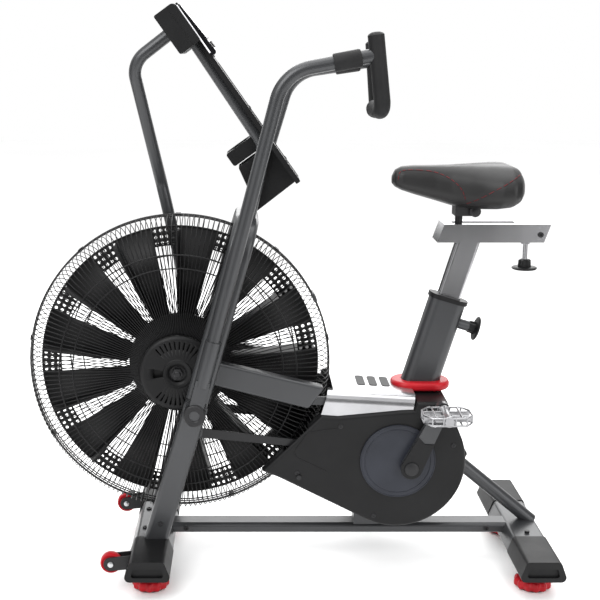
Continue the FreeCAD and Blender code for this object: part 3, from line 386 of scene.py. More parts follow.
def smooth_path(points, bend, steps=10):
    """Points joined by straight runs, with each inner corner rounded to a bend radius."""
    path = [points[0].copy()]
    for before, here, after in zip(points, points[1:], points[2:]):
        back, ahead = (before - here).normalized(), (after - here).normalized()
        half = back.angle(ahead) / 2
        reach = bend / math.tan(half)
        centre = here + (back + ahead).normalized() * (bend / math.sin(half))
        start = (here + back * reach - centre).normalized()
        end = (here + ahead * reach - centre).normalized()
        for step in range(steps + 1):
            path.append(centre + start.slerp(end, step / steps, start) * bend)
    path.append(points[-1].copy())
    return path


def basis(origin, z_axis, x_hint=Vector((1, 0, 0))):
    """Matrix with its local Z on z_axis and local X near x_hint."""
    z_dir = z_axis.normalized()
    y_dir = z_dir.cross(x_hint).normalized()
    x_dir = y_dir.cross(z_dir)
    matrix = Matrix((x_dir, y_dir, z_dir)).transposed().to_4x4()
    matrix.translation = origin
    return matrix


def on_side(sign, centre, y):
    """Matrix whose local XY plane faces the given side at height y from the middle plane."""
    return basis(Vector((centre.x, sign * y, centre.z)), Vector((0, sign, 0)))


# ---------------------------------------------------------------- fan and guard
def rim_point(radius, degrees, y):
    angle = math.radians(degrees)
    return FAN + Vector((radius * math.cos(angle), y, radius * math.sin(angle)))


GUARD_SPOKES = 180
GUARD_CLIPS = 9


def build_guard():
    """Two bent-wire baskets, their rings, and the clips that join them."""
    face, rim = 0.0905, 0.3725
    profile = [(0.086, face), (0.20, face + 0.0008), (0.30, face), (0.328, face - 0.002), (0.347, 0.080),
               (0.359, 0.062), (0.367, 0.038), (0.371, 0.016), (rim, 0.005)]
    for side, sign in SIDES:
        spokes = []
        for index in range(GUARD_SPOKES):
            degrees = 360 / GUARD_SPOKES * index
            spokes.append([rim_point(radius, degrees, sign * y) for radius, y in profile])
        guard = wires("guard_wires_" + side, spokes, 0.00115)
        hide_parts("guard_" + side)
        finish_piece(guard, "frame", "wire_black")
        rings = [(0.087, face), (0.255, face + 0.002), (0.288, face + 0.002), (0.371, 0.016), (rim, 0.006)]
        loops = [[rim_point(radius, 3 * step, sign * y) for step in range(120)] for radius, y in rings]
        finish_piece(wires("guard_rings_" + side, loops, 0.0017, closed=True), "frame", "wire_black")
    for index in range(GUARD_CLIPS):
        at = rim_point(rim, 130 + 360 / GUARD_CLIPS * index, 0)
        out = (at - FAN).normalized()
        matrix = basis(at - out * 0.004, out, Vector((0, 1, 0)))
        outline = rounded_outline(0.024, 0.013, 0.003)
        clip = solid_outline("guard_clip_%d" % index, outline, 0.0075, matrix, 0.001)
        finish_piece(clip, "frame", "cover_black")
    for index, degrees in enumerate((63.5, 27.0)):
        at = rim_point(0.372, degrees, 0)
        out = (at - FAN).normalized()
        matrix = basis(at - out * 0.004, out, Vector((0, 1, 0)))
        outline = rounded_outline(0.05, 0.022, 0.004)
        strap = solid_outline("guard_strap_%d" % index, outline, 0.009, matrix, 0.0015)
        finish_piece(strap, "frame", "frame_grey")


BLADES = 13
BLADE_START = 95.0      # degrees
GAP_HALF = 6.2          # degrees, half of the gap between two vanes
TAB_HOLE = 0.0042
FLANGE_LEAN = 1.4       # degrees
FLANGE_REACH = 0.044
VANE_STEPS = 8


def build_rotor():
    """Fan wheel: flat vanes, a folded flange along one edge of each, and perforated outer tabs."""
    vanes, flanges = ([], []), ([], [])

    def add(sheet, points):
        verts, faces = sheet
        faces.append(tuple(range(len(verts), len(verts) + len(points))))
        verts.extend(points)

    pitch = 360 / BLADES
    inner, outer, tab = 0.124, 0.3435, 0.296
    for index in range(BLADES):
        low = BLADE_START + pitch * index + GAP_HALF
        high = BLADE_START + pitch * (index + 1) - GAP_HALF
        for step in range(VANE_STEPS):
            a = low + (high - low) * step / VANE_STEPS
            b = low + (high - low) * (step + 1) / VANE_STEPS
            add(vanes, [rim_point(inner, a, 0), rim_point(outer, a, 0), rim_point(outer, b, 0),
                        rim_point(inner, b, 0)])
        gap_low, gap_high = high, high + 2 * GAP_HALF
        rows, columns = 3, 5
        for row in range(rows):
            for column in range(columns):
                r0 = tab + (outer - tab) * row / rows
                r1 = tab + (outer - tab) * (row + 1) / rows
                a0 = gap_low + (gap_high - gap_low) * column / columns
                a1 = gap_low + (gap_high - gap_low) * (column + 1) / columns
                corners = [rim_point(r0, a0, 0), rim_point(r1, a0, 0),
                           rim_point(r1, a1, 0), rim_point(r0, a1, 0)]
                centre = sum(corners, Vector()) / 4
                ring = []
                for k in range(8):
                    angle = math.radians((a0 + a1) / 2 + 202.5 + 45 * k)
                    ring.append(centre + Vector((math.cos(angle), 0, math.sin(angle))) * TAB_HOLE)
                for k in range(4):
                    near, far = corners[k], corners[(k + 1) % 4]
                    add(vanes, [near, far, ring[(2 * k + 2) % 8], ring[2 * k + 1]])
                    add(vanes, [far, ring[(2 * k + 3) % 8], ring[(2 * k + 2) % 8]])
        for width_sign in (-1, 1):
            reach = width_sign * FLANGE_REACH
            add(flanges, [rim_point(inner - 0.002, high, 0), rim_point(outer - 0.003, high, 0),
                          rim_point(outer - 0.010, high + FLANGE_LEAN, reach),
                          rim_point(inner + 0.006, high + FLANGE_LEAN, reach)])
    for name, sheet in (("fan_vanes", vanes), ("fan_flanges", flanges)):
        piece = mesh_object(name, *sheet, merge=True)
        solid = piece.modifiers.new("sheet", "SOLIDIFY")
        solid.thickness = 0.0022
        solid.offset = 0
        if name == "fan_vanes":
            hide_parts("fan_rotor")
        finish_piece(piece, "fan", "fan_black")

    matrix = basis(FAN, Vector((0, 1, 0)))
    hub = lathe("fan_hub", [(0.016, -0.046), (0.038, -0.046), (0.042, -0.042), (0.042, -0.004),
                            (0.060, -0.003), (0.1265, -0.003), (0.1265, 0.003), (0.060, 0.003),
                            (0.042, 0.004), (0.042, 0.046), (0.022, 0.046), (0.022, 0.078),
                            (0.016, 0.078)], matrix)
    finish_piece(hub, "fan", "fan_black")
    rim_ring = [rim_point(outer, 3 * step, 0) for step in range(120)]
    finish_piece(wires("fan_rim_bead", [rim_ring], 0.0022, closed=True), "fan", "fan_black")


def build_hub_covers():
    """Dished covers with a fan of cooling slots above and below the axle."""
    face, skirt, radius = 0.112, 0.0935, 0.093
    rings = [(0.020, face), (0.034, face), (0.036, face - 0.002), (0.060, face - 0.002),
             (0.080, face - 0.003), (0.084, face - 0.003), (0.090, face - 0.0055),
             (radius, face - 0.010), (radius, skirt)]
    count = 240
    for side, sign in SIDES:
        verts, faces = [], []
        for step in range(count):
            for reach, level in rings:
                verts.append(rim_point(reach, 360 / count * step, sign * level))
        for step in range(count):
            slot = step % 6 in (2, 3) and (28 <= step < 92 or 148 <= step < 212)
            box_gap = 112 <= step < 128
            for row in range(len(rings) - 1):
                if (slot and row == 3) or (box_gap and row == 2):
                    continue
                a, b = step * len(rings), (step + 1) % count * len(rings)
                faces.append((a + row, b + row, b + row + 1, a + row + 1))
        cover = mesh_object("hub_cover_shell_" + side, verts, faces)
        wall = cover.modifiers.new("wall", "SOLIDIFY")
        wall.thickness = 0.0022
        wall.offset = -1
        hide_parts("hub_cover_" + side)
        finish_piece(cover, "frame", "cover_black")
        back = lathe("hub_cover_liner_" + side, [(0.021, 0), (0.086, 0), (0.086, 0.002), (0.021, 0.002)],
                     on_side(sign, FAN, 0.0945))
        finish_piece(back, "frame", "fan_black")
        nut_place = on_side(sign, FAN, 0.1100)
        nut = solid_outline("axle_nut_" + side, hexagon(0.0145), 0.0062, nut_place, 0.0010)
        finish_piece(nut, "frame", "dark_steel")
        tip = lathe("axle_tip_" + side, [(0, 0.0102), (0.0065, 0.0098), (0.0084, 0.0082), (0.0084, 0.002)],
                    nut_place, 40)
        finish_piece(tip, "frame", "dark_steel")


# ---------------------------------------------------------------- saddle
SADDLE_STATIONS = (
    # x, half width, top, bottom (mm)
    (244, 10, 992, 973), (251, 22, 1006, 965), (266, 29, 1014, 957), (300, 34, 1017, 946),
    (345, 39, 1018, 933), (385, 50, 1018, 921), (420, 72, 1019, 915), (455, 99, 1020, 913),
    (490, 119, 1021, 914), (520, 122, 1020, 918), (538, 106, 1012, 928), (550, 72, 996, 942),
    (556, 26, 979, 957))


def station(x):
    """Half width, top and bottom of the saddle at x, by straight-line interpolation (mm)."""
    for a, b in zip(SADDLE_STATIONS, SADDLE_STATIONS[1:]):
        if a[0] <= x <= b[0]:
            t = (x - a[0]) / (b[0] - a[0])
            return [a[k] + (b[k] - a[k]) * t for k in (1, 2, 3)]
    return SADDLE_STATIONS[-1][1:]


def saddle_surface():
    """Cushion ring by ring from nose to tail."""
    count, around = 62, 72
    verts, faces = [], []
    first, last = SADDLE_STATIONS[0][0], SADDLE_STATIONS[-1][0]
    for i in range(count):
        x = first + (last - first) * (0.5 - 0.5 * math.cos(math.pi * i / (count - 1)))
        half, top, bottom = station(x)
        centre = bottom + (top - bottom) * 0.42
        wide = max(0.0, min(1.0, (half - 40) / 70))
        for j in range(around):
            angle = 2 * math.pi * j / around
            c, s = math.cos(angle), math.sin(angle)
            y = half * math.copysign(abs(c) ** 0.82, c)
            if s >= 0:
                z = centre + (top - centre) * s ** (0.72 + 0.10 * wide)
                rise, fall = max(0, min(1, (x - 290) / 60)), max(0, min(1, (548 - x) / 40))
                z -= 3.2 * math.exp(-(y / 11) ** 2) * rise * fall
                z += 2.6 * wide * math.exp(-((abs(y) - half * 0.52) / 24) ** 2)
            else:
                z = centre + (bottom - centre) * abs(s) ** 0.80
            verts.append(mm(x, y, z))
    for i in range(count - 1):
        for j in range(around):
            a, b = i * around + j, i * around + (j + 1) % around
            faces.append((a, b, b + around, a + around))
    faces.append(tuple(range(around)))
    faces.append(tuple(reversed(range((count - 1) * around, count * around))))
    return verts, faces


SEAM_PATHS = (
    # (x, z) in mm on the saddle's side, run along its seams
    [(256, 984), (261, 1002), (284, 1007), (329, 1005), (359, 997), (383, 984), (401, 966), (410, 946),
     (413, 930)],
    [(416, 930), (442, 946), (472, 967), (501, 985), (524, 998), (540, 1003)])


def sample(path, spacing):
    """Evenly spaced points along a polyline after rounding it (Catmull-Rom)."""
    points = [Vector(p) for p in path]
    dense = []
    for i in range(len(points) - 1):
        p0, p1, p2 = points[max(i - 1, 0)], points[i], points[i + 1]
        p3 = points[min(i + 2, len(points) - 1)]
        for step in range(12):
            t = step / 12
            dense.append(0.5 * ((2 * p1) + (p2 - p0) * t + (2 * p0 - 5 * p1 + 4 * p2 - p3) * t * t
                                + (3 * p1 - p0 - 3 * p2 + p3) * t ** 3))
    dense.append(points[-1])
    result, travelled = [dense[0]], 0.0
    for a, b in zip(dense, dense[1:]):
        travelled += (b - a).length
        if travelled >= spacing:
            result.append(b)
            travelled = 0.0
    return result


SEAM_SPACING = 1.6      # mm between points along a seam
STITCH_POINTS = 5       # points in one stitch; the next point is the gap


def build_saddle():
    """Moulded saddle cushion, seams with red stitching, and the round clamp ears under it."""
    verts, faces = saddle_surface()
    cushion = mesh_object("saddle_cushion", verts, faces, smooth_angle=60)
    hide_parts("saddle")
    finish_piece(cushion, "saddle_slide", "saddle_leather")
    tree = BVHTree.FromPolygons(verts, faces)
    stitches, piping = [], []
    for sign in (-1, 1):
        for path in SEAM_PATHS:
            run = []
            for x, z in sample(path, SEAM_SPACING):
                hit = tree.ray_cast(mm(x, sign * 300, z), Vector((0, -sign, 0)))
                if hit[0]:
                    normal = hit[1] if hit[1].y * sign > 0 else -hit[1]
                    run.append(hit[0] + normal * 0.0003)
            piping.append(run)
            for k in range(0, len(run) - STITCH_POINTS, STITCH_POINTS + 1):
                stitches.append(run[k:k + STITCH_POINTS])
    finish_piece(wires("saddle_piping", piping, 0.0007), "saddle_slide", "saddle_leather")
    thread = wires("saddle_stitching", [[p + Vector((0, math.copysign(0.0005, p.y), 0.0008)) for p in s]
                                        for s in stitches], 0.00055)
    finish_piece(thread, "saddle_slide", THREAD)
    for sign in (-1, 1):
        ear = lathe("saddle_ear_%s" % ("left" if sign < 0 else "right"),
                    [(0, 0), (0.0125, 0), (0.0135, 0.001), (0.0135, 0.004), (0.011, 0.006), (0.005, 0.0065),
                     (0.005, 0.009), (0, 0.0095)], on_side(sign, Vector((0.443, 0, 0.908)), 0.028), 40)
        finish_piece(ear, "saddle_slide", "dark_steel")


# ---------------------------------------------------------------- grips, knobs, pedals
def arm_turn(side):
    """The small swing that the right arm has at rest."""
    if side == "left":
        return Matrix.Identity(4)
    swing = Matrix.Rotation(math.radians(RIGHT_ARM_PHASE), 4, "Y")
    return Matrix.Translation(PIVOT) @ swing @ Matrix.Translation(-PIVOT)


ARM_LEVEL = 186         # mm from the middle plane


def build_grips():
    """Bent foam grips with end caps, and the rubber sleeve where each joins its arm."""
    for side, sign in SIDES:
        swing, body = arm_turn(side), "arm_" + side[0]
        level = sign * ARM_LEVEL
        path = smooth_path([mm(177, level, 1320), mm(197, level, 1152), mm(183, level - sign * 62, 1158.5)],
                           0.024, 12)
        path = [swing @ p for p in path]
        bar = wires("grip_foam_" + side, [path], 0.0188, resolution=8)
        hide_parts("grip_" + side)
        finish_piece(bar, body, "grip_rubber")
        for label, at, nearby in (("top", path[0], path[1]), ("end", path[-1], path[-2])):
            out = (at - nearby).normalized()
            cap = lathe("grip_%s_cap_%s" % (label, side), [(0, 0.0075), (0.009, 0.0068), (0.0155, 0.004),
                        (0.0186, 0.0006), (0.0188, -0.004)], basis(at, out), 40)
            finish_piece(cap, body, "grip_rubber")
        end = path[-1] + (path[-1] - path[-2]).normalized() * 0.006
        plug = lathe("grip_plug_" + side, [(0, 0.003), (0.009, 0.0026), (0.0115, 0.001), (0.0115, -0.003)],
                     basis(end, path[-1] - path[-2]), 40)
        finish_piece(plug, body, "steel")
        corner, target = mm(-25, level, 1239), mm(184, level, 1278)
        along = (target - corner).normalized()
        matrix = swing @ basis(corner + along * 0.112, along)
        sleeve = lathe("grip_sleeve_" + side, [(0.0165, 0), (0.019, 0.0005), (0.0205, 0.003), (0.0205, 0.058),
                                               (0.019, 0.062), (0.0165, 0.0625)], matrix, 48)
        finish_piece(sleeve, body, "grip_rubber")


def build_pivots():
    """Recessed caps on the arm pivots, each with a dark disc on its recess floor as painted shade."""
    for side, sign in SIDES:
        body = "arm_" + side[0]
        face = on_side(sign, PIVOT, 0.2)
        cap = lathe("pivot_cap_" + side, [(0, 0), (0.0115, 0), (0.0125, 0.006), (0.0145, 0.0075),
                                          (0.0235, 0.0075), (0.0262, 0.005), (0.0262, -0.012)], face, 56)
        finish_piece(cap, body, "dark_steel")
        # dark disc on the recess floor: painted shade, darker than the cap around it
        painted_recess_shade = lathe("pivot_recess_" + side, [(0, 0.0004), (0.0122, 0.0004), (0.0122, 0.0012), (0, 0.0012)],
                       face, 48)
        finish_piece(painted_recess_shade, body, "fan_black")


STEM_RADIUS = 0.0058
SEAT_TUBE_LEAN = math.radians(16.7)
SEAT_TUBE_FOOT = mm(283, 0, 331)
HEIGHT_PIN_UP = 0.320


def build_knob(name, node, body, base, axis, disc_at, nut_at, stem_from):
    """Disc knob with a ribbed hub on a chrome stem."""
    matrix = basis(base, axis)

    def lobes(angle, radius):
        return radius * (1 + 0.12 * math.cos(6 * angle))

    flange = lathe(name + "_disc", [(0, disc_at + 0.0065), (0.020, disc_at + 0.006),
                                    (0.028, disc_at + 0.0045), (0.0305, disc_at + 0.0025),
                                    (0.0305, disc_at), (0.028, disc_at - 0.0015),
                                    (0.012, disc_at - 0.002), (0, disc_at - 0.002)], matrix, 64)
    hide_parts(node)
    finish_piece(flange, body, "cover_black")
    hub = lathe(name + "_hub", [(0, disc_at - 0.0205), (0.010, disc_at - 0.0205), (0.0135, disc_at - 0.018),
                                (0.0145, disc_at - 0.002)], matrix, 96, lobes)
    finish_piece(hub, body, "cover_black")
    stem = lathe(name + "_stem", [(STEM_RADIUS, stem_from), (STEM_RADIUS, disc_at - 0.019)], matrix, 32)
    finish_piece(stem, body, "chrome")
    nut_place = basis(base + axis.normalized() * nut_at, axis)
    return solid_outline(name + "_nut", hexagon(0.0115), 0.009, nut_place, 0.0008)


def build_knobs():
    """The fore-aft clamp knob under the seat beam and the pull pin behind the seat tube."""
    low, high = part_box("slide_knob")
    top = Vector(((low.x + high.x) / 2, 0, high.z))
    nut = build_knob("fore_aft_knob", "slide_knob", "clamp_knob", top, Vector((0, 0, -1)), 0.072, 0.0045, 0.0)
    finish_piece(nut, "seat", "chrome")
    back = Vector((math.cos(SEAT_TUBE_LEAN), 0, -math.sin(SEAT_TUBE_LEAN)))
    up = Vector((math.sin(SEAT_TUBE_LEAN), 0, math.cos(SEAT_TUBE_LEAN)))
    base = SEAT_TUBE_FOOT + up * HEIGHT_PIN_UP
    nut = build_knob("height_pin", "height_knob", "pin_knob", base, back, 0.090, 0.066, 0.038)
    finish_piece(nut, "frame", "chrome")


def build_pedals():
    """Cage pedals: two eight-sided rails joined by posts, with grip pins, webs and a turned barrel."""
    outline = [(-56, -20), (-40, -43.5), (40, -43.5), (56, -20),
               (56, 20), (40, 43.5), (-40, 43.5), (-56, 20)]
    for side, sign in SIDES:
        centre = middle("pedal_" + side)
        body = "pedal_" + side[0]
        rails = [[centre + mm(x, y, z) for x, y in outline] for z in (-9, 9)]
        cage = wires("pedal_rails_" + side, rails, 0.0024, closed=True, resolution=3)
        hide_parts("pedal_" + side)
        finish_piece(cage, body, "pedal_silver")
        posts = [[centre + mm(x, y, -9), centre + mm(x, y, 9)] for x, y in outline]
        posts += [[centre + mm(x, y, -9), centre + mm(x, y, 9)] for x in (-14, 14) for y in (-43.5, 43.5)]
        posts += [[centre + mm(x, -43.5, z), centre + mm(x, 43.5, z)] for x in (-30, 30) for z in (-9, 9)]
        finish_piece(wires("pedal_posts_" + side, posts, 0.0021, resolution=3), body, "pedal_silver")
        teeth = [[centre + mm(x, y, z), centre + mm(x, y, z * 1.32)] for x in (-56, 56) for z in (-9, 9)
                 for y in (-14, 0, 14)]
        teeth += [[centre + mm(x, y, z), centre + mm(x, y, z * 1.32)] for x in (-34, 34) for z in (-9, 9)
                  for y in (-43.5, 43.5)]
        finish_piece(wires("pedal_pins_" + side, teeth, 0.0017), body, "steel")
        barrel_base = centre - Vector((0, sign * 0.046, 0))
        barrel = lathe("pedal_barrel_" + side, [(0.0075, 0), (0.0135, 0), (0.0145, 0.002), (0.0145, 0.012),
                       (0.0115, 0.018), (0.0105, 0.046), (0.0115, 0.074), (0.0135, 0.080), (0.0135, 0.088),
                       (0.011, 0.0905), (0, 0.0905)], basis(barrel_base, Vector((0, sign, 0))), 40)
        finish_piece(barrel, body, "pedal_silver")
        for x_sign in (-1, 1):
            for y_mm in (-18, 18):
                web = solid_outline("pedal_web_%s_%s_%s" % (side, "ab"[x_sign > 0], "ab"[y_mm > 0]),
                                    rounded_outline(0.048, 0.006, 0.002), 0.016,
                                    Matrix.Translation(centre + mm(x_sign * 32, y_mm, -8)), 0.0012)
                finish_piece(web, body, "pedal_silver")


def build_crank_trim():
    """Axle caps, and the dark moulded shoe over the root of each crank arm."""
    for side, sign in SIDES:
        toward = middle("pedal_" + side) - CRANK
        toward.y = 0
        shoe_place = basis(Vector((CRANK.x, sign * 0.1515, CRANK.z)), Vector((0, sign, 0)), toward)
        outline = []
        for step in range(19):
            angle = math.pi / 2 + math.pi * step / 18
            outline.append((0.0262 * math.cos(angle), 0.0262 * math.sin(angle)))
        outline += [(0.052, -0.0235), (0.079, -0.0215), (0.070, 0), (0.079, 0.0215), (0.052, 0.0235)]
        shoe = solid_outline("crank_shoe_" + side, outline, 0.0035, shoe_place, 0.0012)
        finish_piece(shoe, "crank", "cover_black")
        cap = lathe("crank_cap_" + side, [(0, 0.0045), (0.012, 0.004), (0.0165, 0.002), (0.0175, -0.002),
                                          (0.0175, -0.006)], on_side(sign, CRANK, 0.1560), 48)
        finish_piece(cap, "crank", "dark_steel")
        collar = lathe("crank_collar_" + side, [(0.0105, 0), (0.022, 0), (0.0235, 0.0015), (0.0235, 0.0035),
                                                (0.0105, 0.0035)], on_side(sign, CRANK, 0.130), 48)
        finish_piece(collar, "crank", "dark_steel")


# ---------------------------------------------------------------- console and covers
def console_matrix():
    """Frame on the console's slanted face: local X runs down the face, local Z points out of it."""
    tilt = math.radians(54.5)
    return basis(mm(-274, 0, 1397), Vector((math.sin(tilt), 0, math.cos(tilt))),
                 Vector((math.cos(tilt), 0, -math.sin(tilt))))


def build_console():
    """Screen, bezel, light strips, seams and panel screws on the console."""
    place = console_matrix()
    lean = math.atan2(10, 145)

    def on_wedge(u, out, y=0.0):
        rise = 5.0 + (u - 7) * math.tan(lean) + out
        return place @ Matrix.Translation(mm(u, y, rise)) @ Matrix.Rotation(-lean, 4, "Y")

    lens = solid_outline("display_lens", rounded_outline(0.092, 0.128, 0.008), 0.0016,
                         on_wedge(62, 0.0), 0.0006)
    finish_piece(lens, "frame", LENS)
    bezel_outer = rounded_outline(0.100, 0.138, 0.011)
    bezel_path = [on_wedge(62, 0.6) @ Vector((u, v, 0)) for u, v in bezel_outer]
    finish_piece(wires("display_bezel", [bezel_path], 0.0012, closed=True), "frame", "display_black")
    for side, sign in SIDES:
        strip = [place @ mm(u, sign * 83.5, 0.6) for u in (12, 50, 100, 142)]
        light = wires("display_light_" + side, [strip], 0.0018)
        finish_piece(light, "frame", LIGHT_STRIP)
        seam = [place @ mm(u, sign * 95.2, -20) for u in (6, 40, 80, 102)]
        finish_piece(wires("console_seam_" + side, [seam], 0.0006), "frame", "cover_black")
        for k, u in enumerate((150, 300, 450)):
            base = place @ Matrix.Translation(mm(u, sign * 44, 0.0))
            screw = lathe("panel_screw_%s_%d" % (side, k), [(0, 0.001), (0.002, 0.001), (0.0024, 0.002),
                          (0.0042, 0.0017), (0.0048, 0.0004), (0.0048, -0.001)], base, 24)
            finish_piece(screw, "frame", "dark_steel")
    ridge = [place @ mm(u, 0, 0.4) for u in (170, 300, 500)]
    finish_piece(wires("panel_ridge", [ridge], 0.0012), "frame", "cover_black")


COVER_FRONT_X = 90
COVER_FRONT_TOP = 0.482
COVER_DROP = 12 / 212
SHROUD_WALL = 0.1262
SHROUD_SCREWS = ((16, 279), (205, 168), (395, 350), (120, 398))


def build_cover_trim():
    """Inset pads on the silver cover, ribs and screws on the shroud, rings on its discs."""
    for index, x in enumerate((177, 207, 238)):
        matrix = Matrix.Translation(Vector((x * MM, 0, 0))) @ Matrix.Rotation(math.atan(COVER_DROP), 4, "Y")
        matrix.translation.z = COVER_FRONT_TOP - (x - COVER_FRONT_X) * MM * COVER_DROP - 0.0018
        outline = rounded_outline(0.021, 0.082, 0.008)
        pad = solid_outline("cover_inset_%d" % index, outline, 0.0030, matrix, 0.001)
        finish_piece(pad, "frame", "cover_black")
    for side, sign in SIDES:
        groove = smooth_path([mm(118, 0, 394), mm(42, 0, 383), mm(2, 0, 325), mm(86, 0, 284)], 0.016, 8)
        groove = [Vector((p.x, sign * SHROUD_WALL, p.z)) for p in groove]
        finish_piece(wires("shroud_rib_" + side, [groove], 0.0011), "frame", "cover_black")
        for k, (x, z) in enumerate(SHROUD_SCREWS):
            screw = lathe("shroud_screw_%s_%d" % (side, k), [(0, 0.0006), (0.0022, 0.0006), (0.0026, 0.0022),
                          (0.0052, 0.0018), (0.0060, 0.0004), (0.0060, -0.002)],
                          on_side(sign, mm(x, 0, z), 0.1258), 24)
            finish_piece(screw, "frame", "dark_steel")
        disc = middle("disc_covers")
        for k, (radius, level, thick) in enumerate(((0.0905, 0.1302, 0.0014), (0.080, 0.1303, 0.0010))):
            loop = [Vector((disc.x + radius * math.cos(math.radians(3 * s)), sign * level,
                            disc.z + radius * math.sin(math.radians(3 * s)))) for s in range(120)]
            ring = wires("disc_ring_%s_%d" % (side, k), [loop], thick, closed=True)
            finish_piece(ring, "frame", "disc_slate")


# ---------------------------------------------------------------- base hardware
FOOT_LOBES = 12
LOBE_DEPTH = 0.0052


def build_feet():
    """Red lobed levelling feet with a flat rubber sole."""
    def lobes(angle, radius):
        if radius < 0.03:
            return radius
        return radius - LOBE_DEPTH / 2 * (1 + math.cos(FOOT_LOBES * angle + math.pi))

    for place in ("front_left", "front_right", "rear_left", "rear_right"):
        low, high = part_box("foot_" + place)
        centre = (low + high) / 2
        matrix = Matrix.Translation(Vector((centre.x, centre.y, 0)))
        body = "foot_%s%s" % (place[0], place.split("_")[1][0])
        grip = lathe("levelling_foot_" + place, [(0.036, 0.003), (0.0415, 0.0035), (0.0450, 0.007),
                     (0.0458, 0.013), (0.0450, 0.019), (0.0415, 0.0235), (0.034, 0.0255), (0.022, 0.027),
                     (0.0205, 0.030), (0.0195, high.z)], matrix, 144, lobes)
        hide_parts("foot_" + place)
        finish_piece(grip, body, "red_plastic")
        sole = lathe("foot_sole_" + place, [(0, 0.0), (0.033, 0.0), (0.036, 0.0012), (0.037, 0.0045),
                                            (0, 0.0045)], matrix, 64)
        finish_piece(sole, body, "grip_rubber")


def build_wheels():
    """Transport wheels and the bolt heads either side of each."""
    for side, _ in SIDES:
        centre = middle("wheel_" + side)
        matrix = basis(centre, Vector((0, 1, 0)))
        tyre = lathe("wheel_tyre_" + side, [(0.0052, -0.011), (0.013, -0.011), (0.0145, -0.009),
                     (0.019, -0.009), (0.0215, -0.011), (0.0242, -0.010), (0.0258, -0.006), (0.026, 0),
                     (0.0258, 0.006), (0.0242, 0.010), (0.0215, 0.011), (0.019, 0.009),
                     (0.0145, 0.009), (0.013, 0.011),
                     (0.0052, 0.011)], matrix, 64)
        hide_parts("wheel_" + side)
        finish_piece(tyre, "wheel_" + side[0], "red_plastic")
        for k, out in enumerate((-1, 1)):
            bolt = lathe("wheel_bolt_%s_%d" % (side, k), [(0, 0.0042), (0.004, 0.0040), (0.0068, 0.0025),
                         (0.0075, 0), (0.0075, -0.001)], basis(centre + Vector((0, out * 0.0156, 0)),
                                                               Vector((0, out, 0))), 32)
            finish_piece(bolt, "frame", "steel")


def build_bolts():
    """Socket-head bolts where the frame is joined."""
    spots = []
    for sign in (-1, 1):
        spots.append(("rail_side_%d" % sign, mm(-262, sign * 29, 92), Vector((0, sign, 0))))
        spots.append(("rail_rear_%d" % sign, mm(505, sign * 29, 92), Vector((0, sign, 0))))
        for x in (-372, -312):
            name = "front_stab_%d_%d" % (sign, x)
            spots.append((name, mm(x + 8, sign * 60, 107), Vector((0, 0, 1))))
        spots.append(("seat_beam_%d" % sign, mm(601, sign * 40, 853), Vector((0, sign, 0))))
    for name, at, out in spots:
        body = "seat" if name.startswith("seat_beam") else "frame"
        head = lathe("bolt_" + name.replace("-", "m"), [(0, 0.0008), (0.0028, 0.0008), (0.0032, 0.0040),
                     (0.0058, 0.0040), (0.0068, 0.0030), (0.0068, -0.0015)], basis(at, out), 32)
        finish_piece(head, body, "dark_steel")


# ---------------------------------------------------------------- stage
def reflection_card(name, degrees):
    """Dark panel and floor mat that only show in reflections, to give bare metal its contrast."""
    distance, half_width, high = 5.0, 1.8, 3.0
    mat_near, mat_far, lift = 2.3, 3.9, 0.004
    spin = Matrix.Rotation(math.radians(degrees), 4, "Z")
    corners = [(-half_width, -distance, lift), (half_width, -distance, lift), (half_width, -distance, high),
               (-half_width, -distance, high), (-half_width, -mat_far, lift), (half_width, -mat_far, lift),
               (half_width, -mat_near, lift), (-half_width, -mat_near, lift)]
    mesh = bpy.data.meshes.new(name)
    mesh.from_pydata([tuple(spin @ Vector(corner)) for corner in corners], [], [(0, 1, 2, 3), (4, 5, 6, 7)])
    felt = Nodes(name + "_felt")
    felt.settle(Base_Color=(0.02, 0.02, 0.02, 1), Roughness=1.0, Specular_IOR_Level=0.0)
    mesh.materials.append(felt.material)
    card = new_object(name, mesh)
    card.visible_camera = card.visible_diffuse = card.visible_shadow = False
    return card


FLOOR_HALF = 14.0
LIGHTS = (
    # name, place, target, size in metres, power in watts
    ("key_light", (-1.9, -2.6, 3.2), (0, 0, 0.6), 2.4, 100),
    ("fill_light", (2.6, -2.8, 1.8), (0.1, 0, 0.6), 2.6, 50),
    ("top_light", (0.1, 0.3, 3.6), (0, 0, 0.5), 3.2, 90),
    ("back_light", (0.4, 3.2, 2.2), (0, 0, 0.7), 3.0, 85))


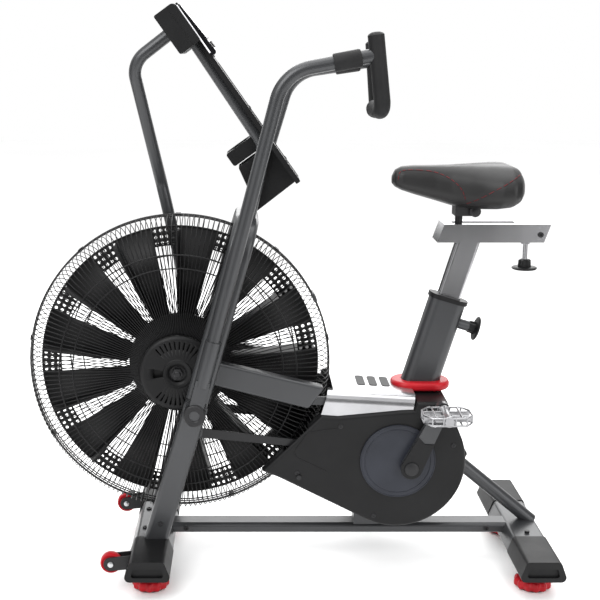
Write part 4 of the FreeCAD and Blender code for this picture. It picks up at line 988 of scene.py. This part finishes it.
def build_stage():
    """Pale floor, four soft area lights, dark reflection cards and a white world."""
    paper = Nodes("floor_paper")
    paper.link(paper.ramp(paper.noise(0.6), (0.985, 0.985, 0.985), (1.0, 1.0, 1.0)),
               paper.shader.inputs["Base Color"])
    paper.settle(Roughness=0.9, Specular_IOR_Level=0.1)
    mesh = bpy.data.meshes.new("studio_floor")
    mesh.from_pydata([(-FLOOR_HALF, -FLOOR_HALF, 0), (FLOOR_HALF, -FLOOR_HALF, 0),
                      (FLOOR_HALF, FLOOR_HALF, 0), (-FLOOR_HALF, FLOOR_HALF, 0)], [], [(0, 1, 2, 3)])
    mesh.materials.append(paper.material)
    floor = new_object("studio_floor", mesh)
    for name, place, target, size, power in LIGHTS:
        data = bpy.data.lights.new(name, "AREA")
        data.shape = "SQUARE"
        data.size = size
        data.energy = power
        light = new_object(name, data)
        light.location = place
        light.rotation_euler = (Vector(target) - Vector(place)).to_track_quat("-Z", "Y").to_euler()
    cards = [reflection_card("dark_card_%d" % index, 90 * index) for index in range(4)]
    world = bpy.data.worlds.new("studio_world")
    bpy.context.scene.world = world
    world.use_nodes = True
    background = world.node_tree.nodes["Background"]
    background.inputs["Color"].default_value = (1.0, 1.0, 1.0, 1)
    background.inputs["Strength"].default_value = 1.0
    bpy.context.scene.view_settings.view_transform = "Standard"


CAMERA_PLACE = (-0.1065, -2.770, 1.289)
CAMERA_PITCH = 12.33    # degrees below level
CAMERA_LENS = 68.76
CAMERA_SHIFT = 0.0883


def build_camera():
    """Side view from slightly above, as far off as the object's own size times about two."""
    data = bpy.data.cameras.new("main_camera")
    data.sensor_width = 36
    data.lens = CAMERA_LENS
    data.shift_x = CAMERA_SHIFT
    data.clip_end = 60
    camera = new_object("main_camera", data)
    camera.location = CAMERA_PLACE
    camera.rotation_euler = (math.radians(90 - CAMERA_PITCH), 0, 0)
    bpy.context.scene.camera = camera


dress_nodes()
build_guard()
build_rotor()
build_hub_covers()
build_saddle()
build_grips()
build_pivots()
build_knobs()
build_pedals()
build_crank_trim()
build_console()
build_cover_trim()
build_feet()
build_wheels()
build_bolts()
build_stage()
build_camera()
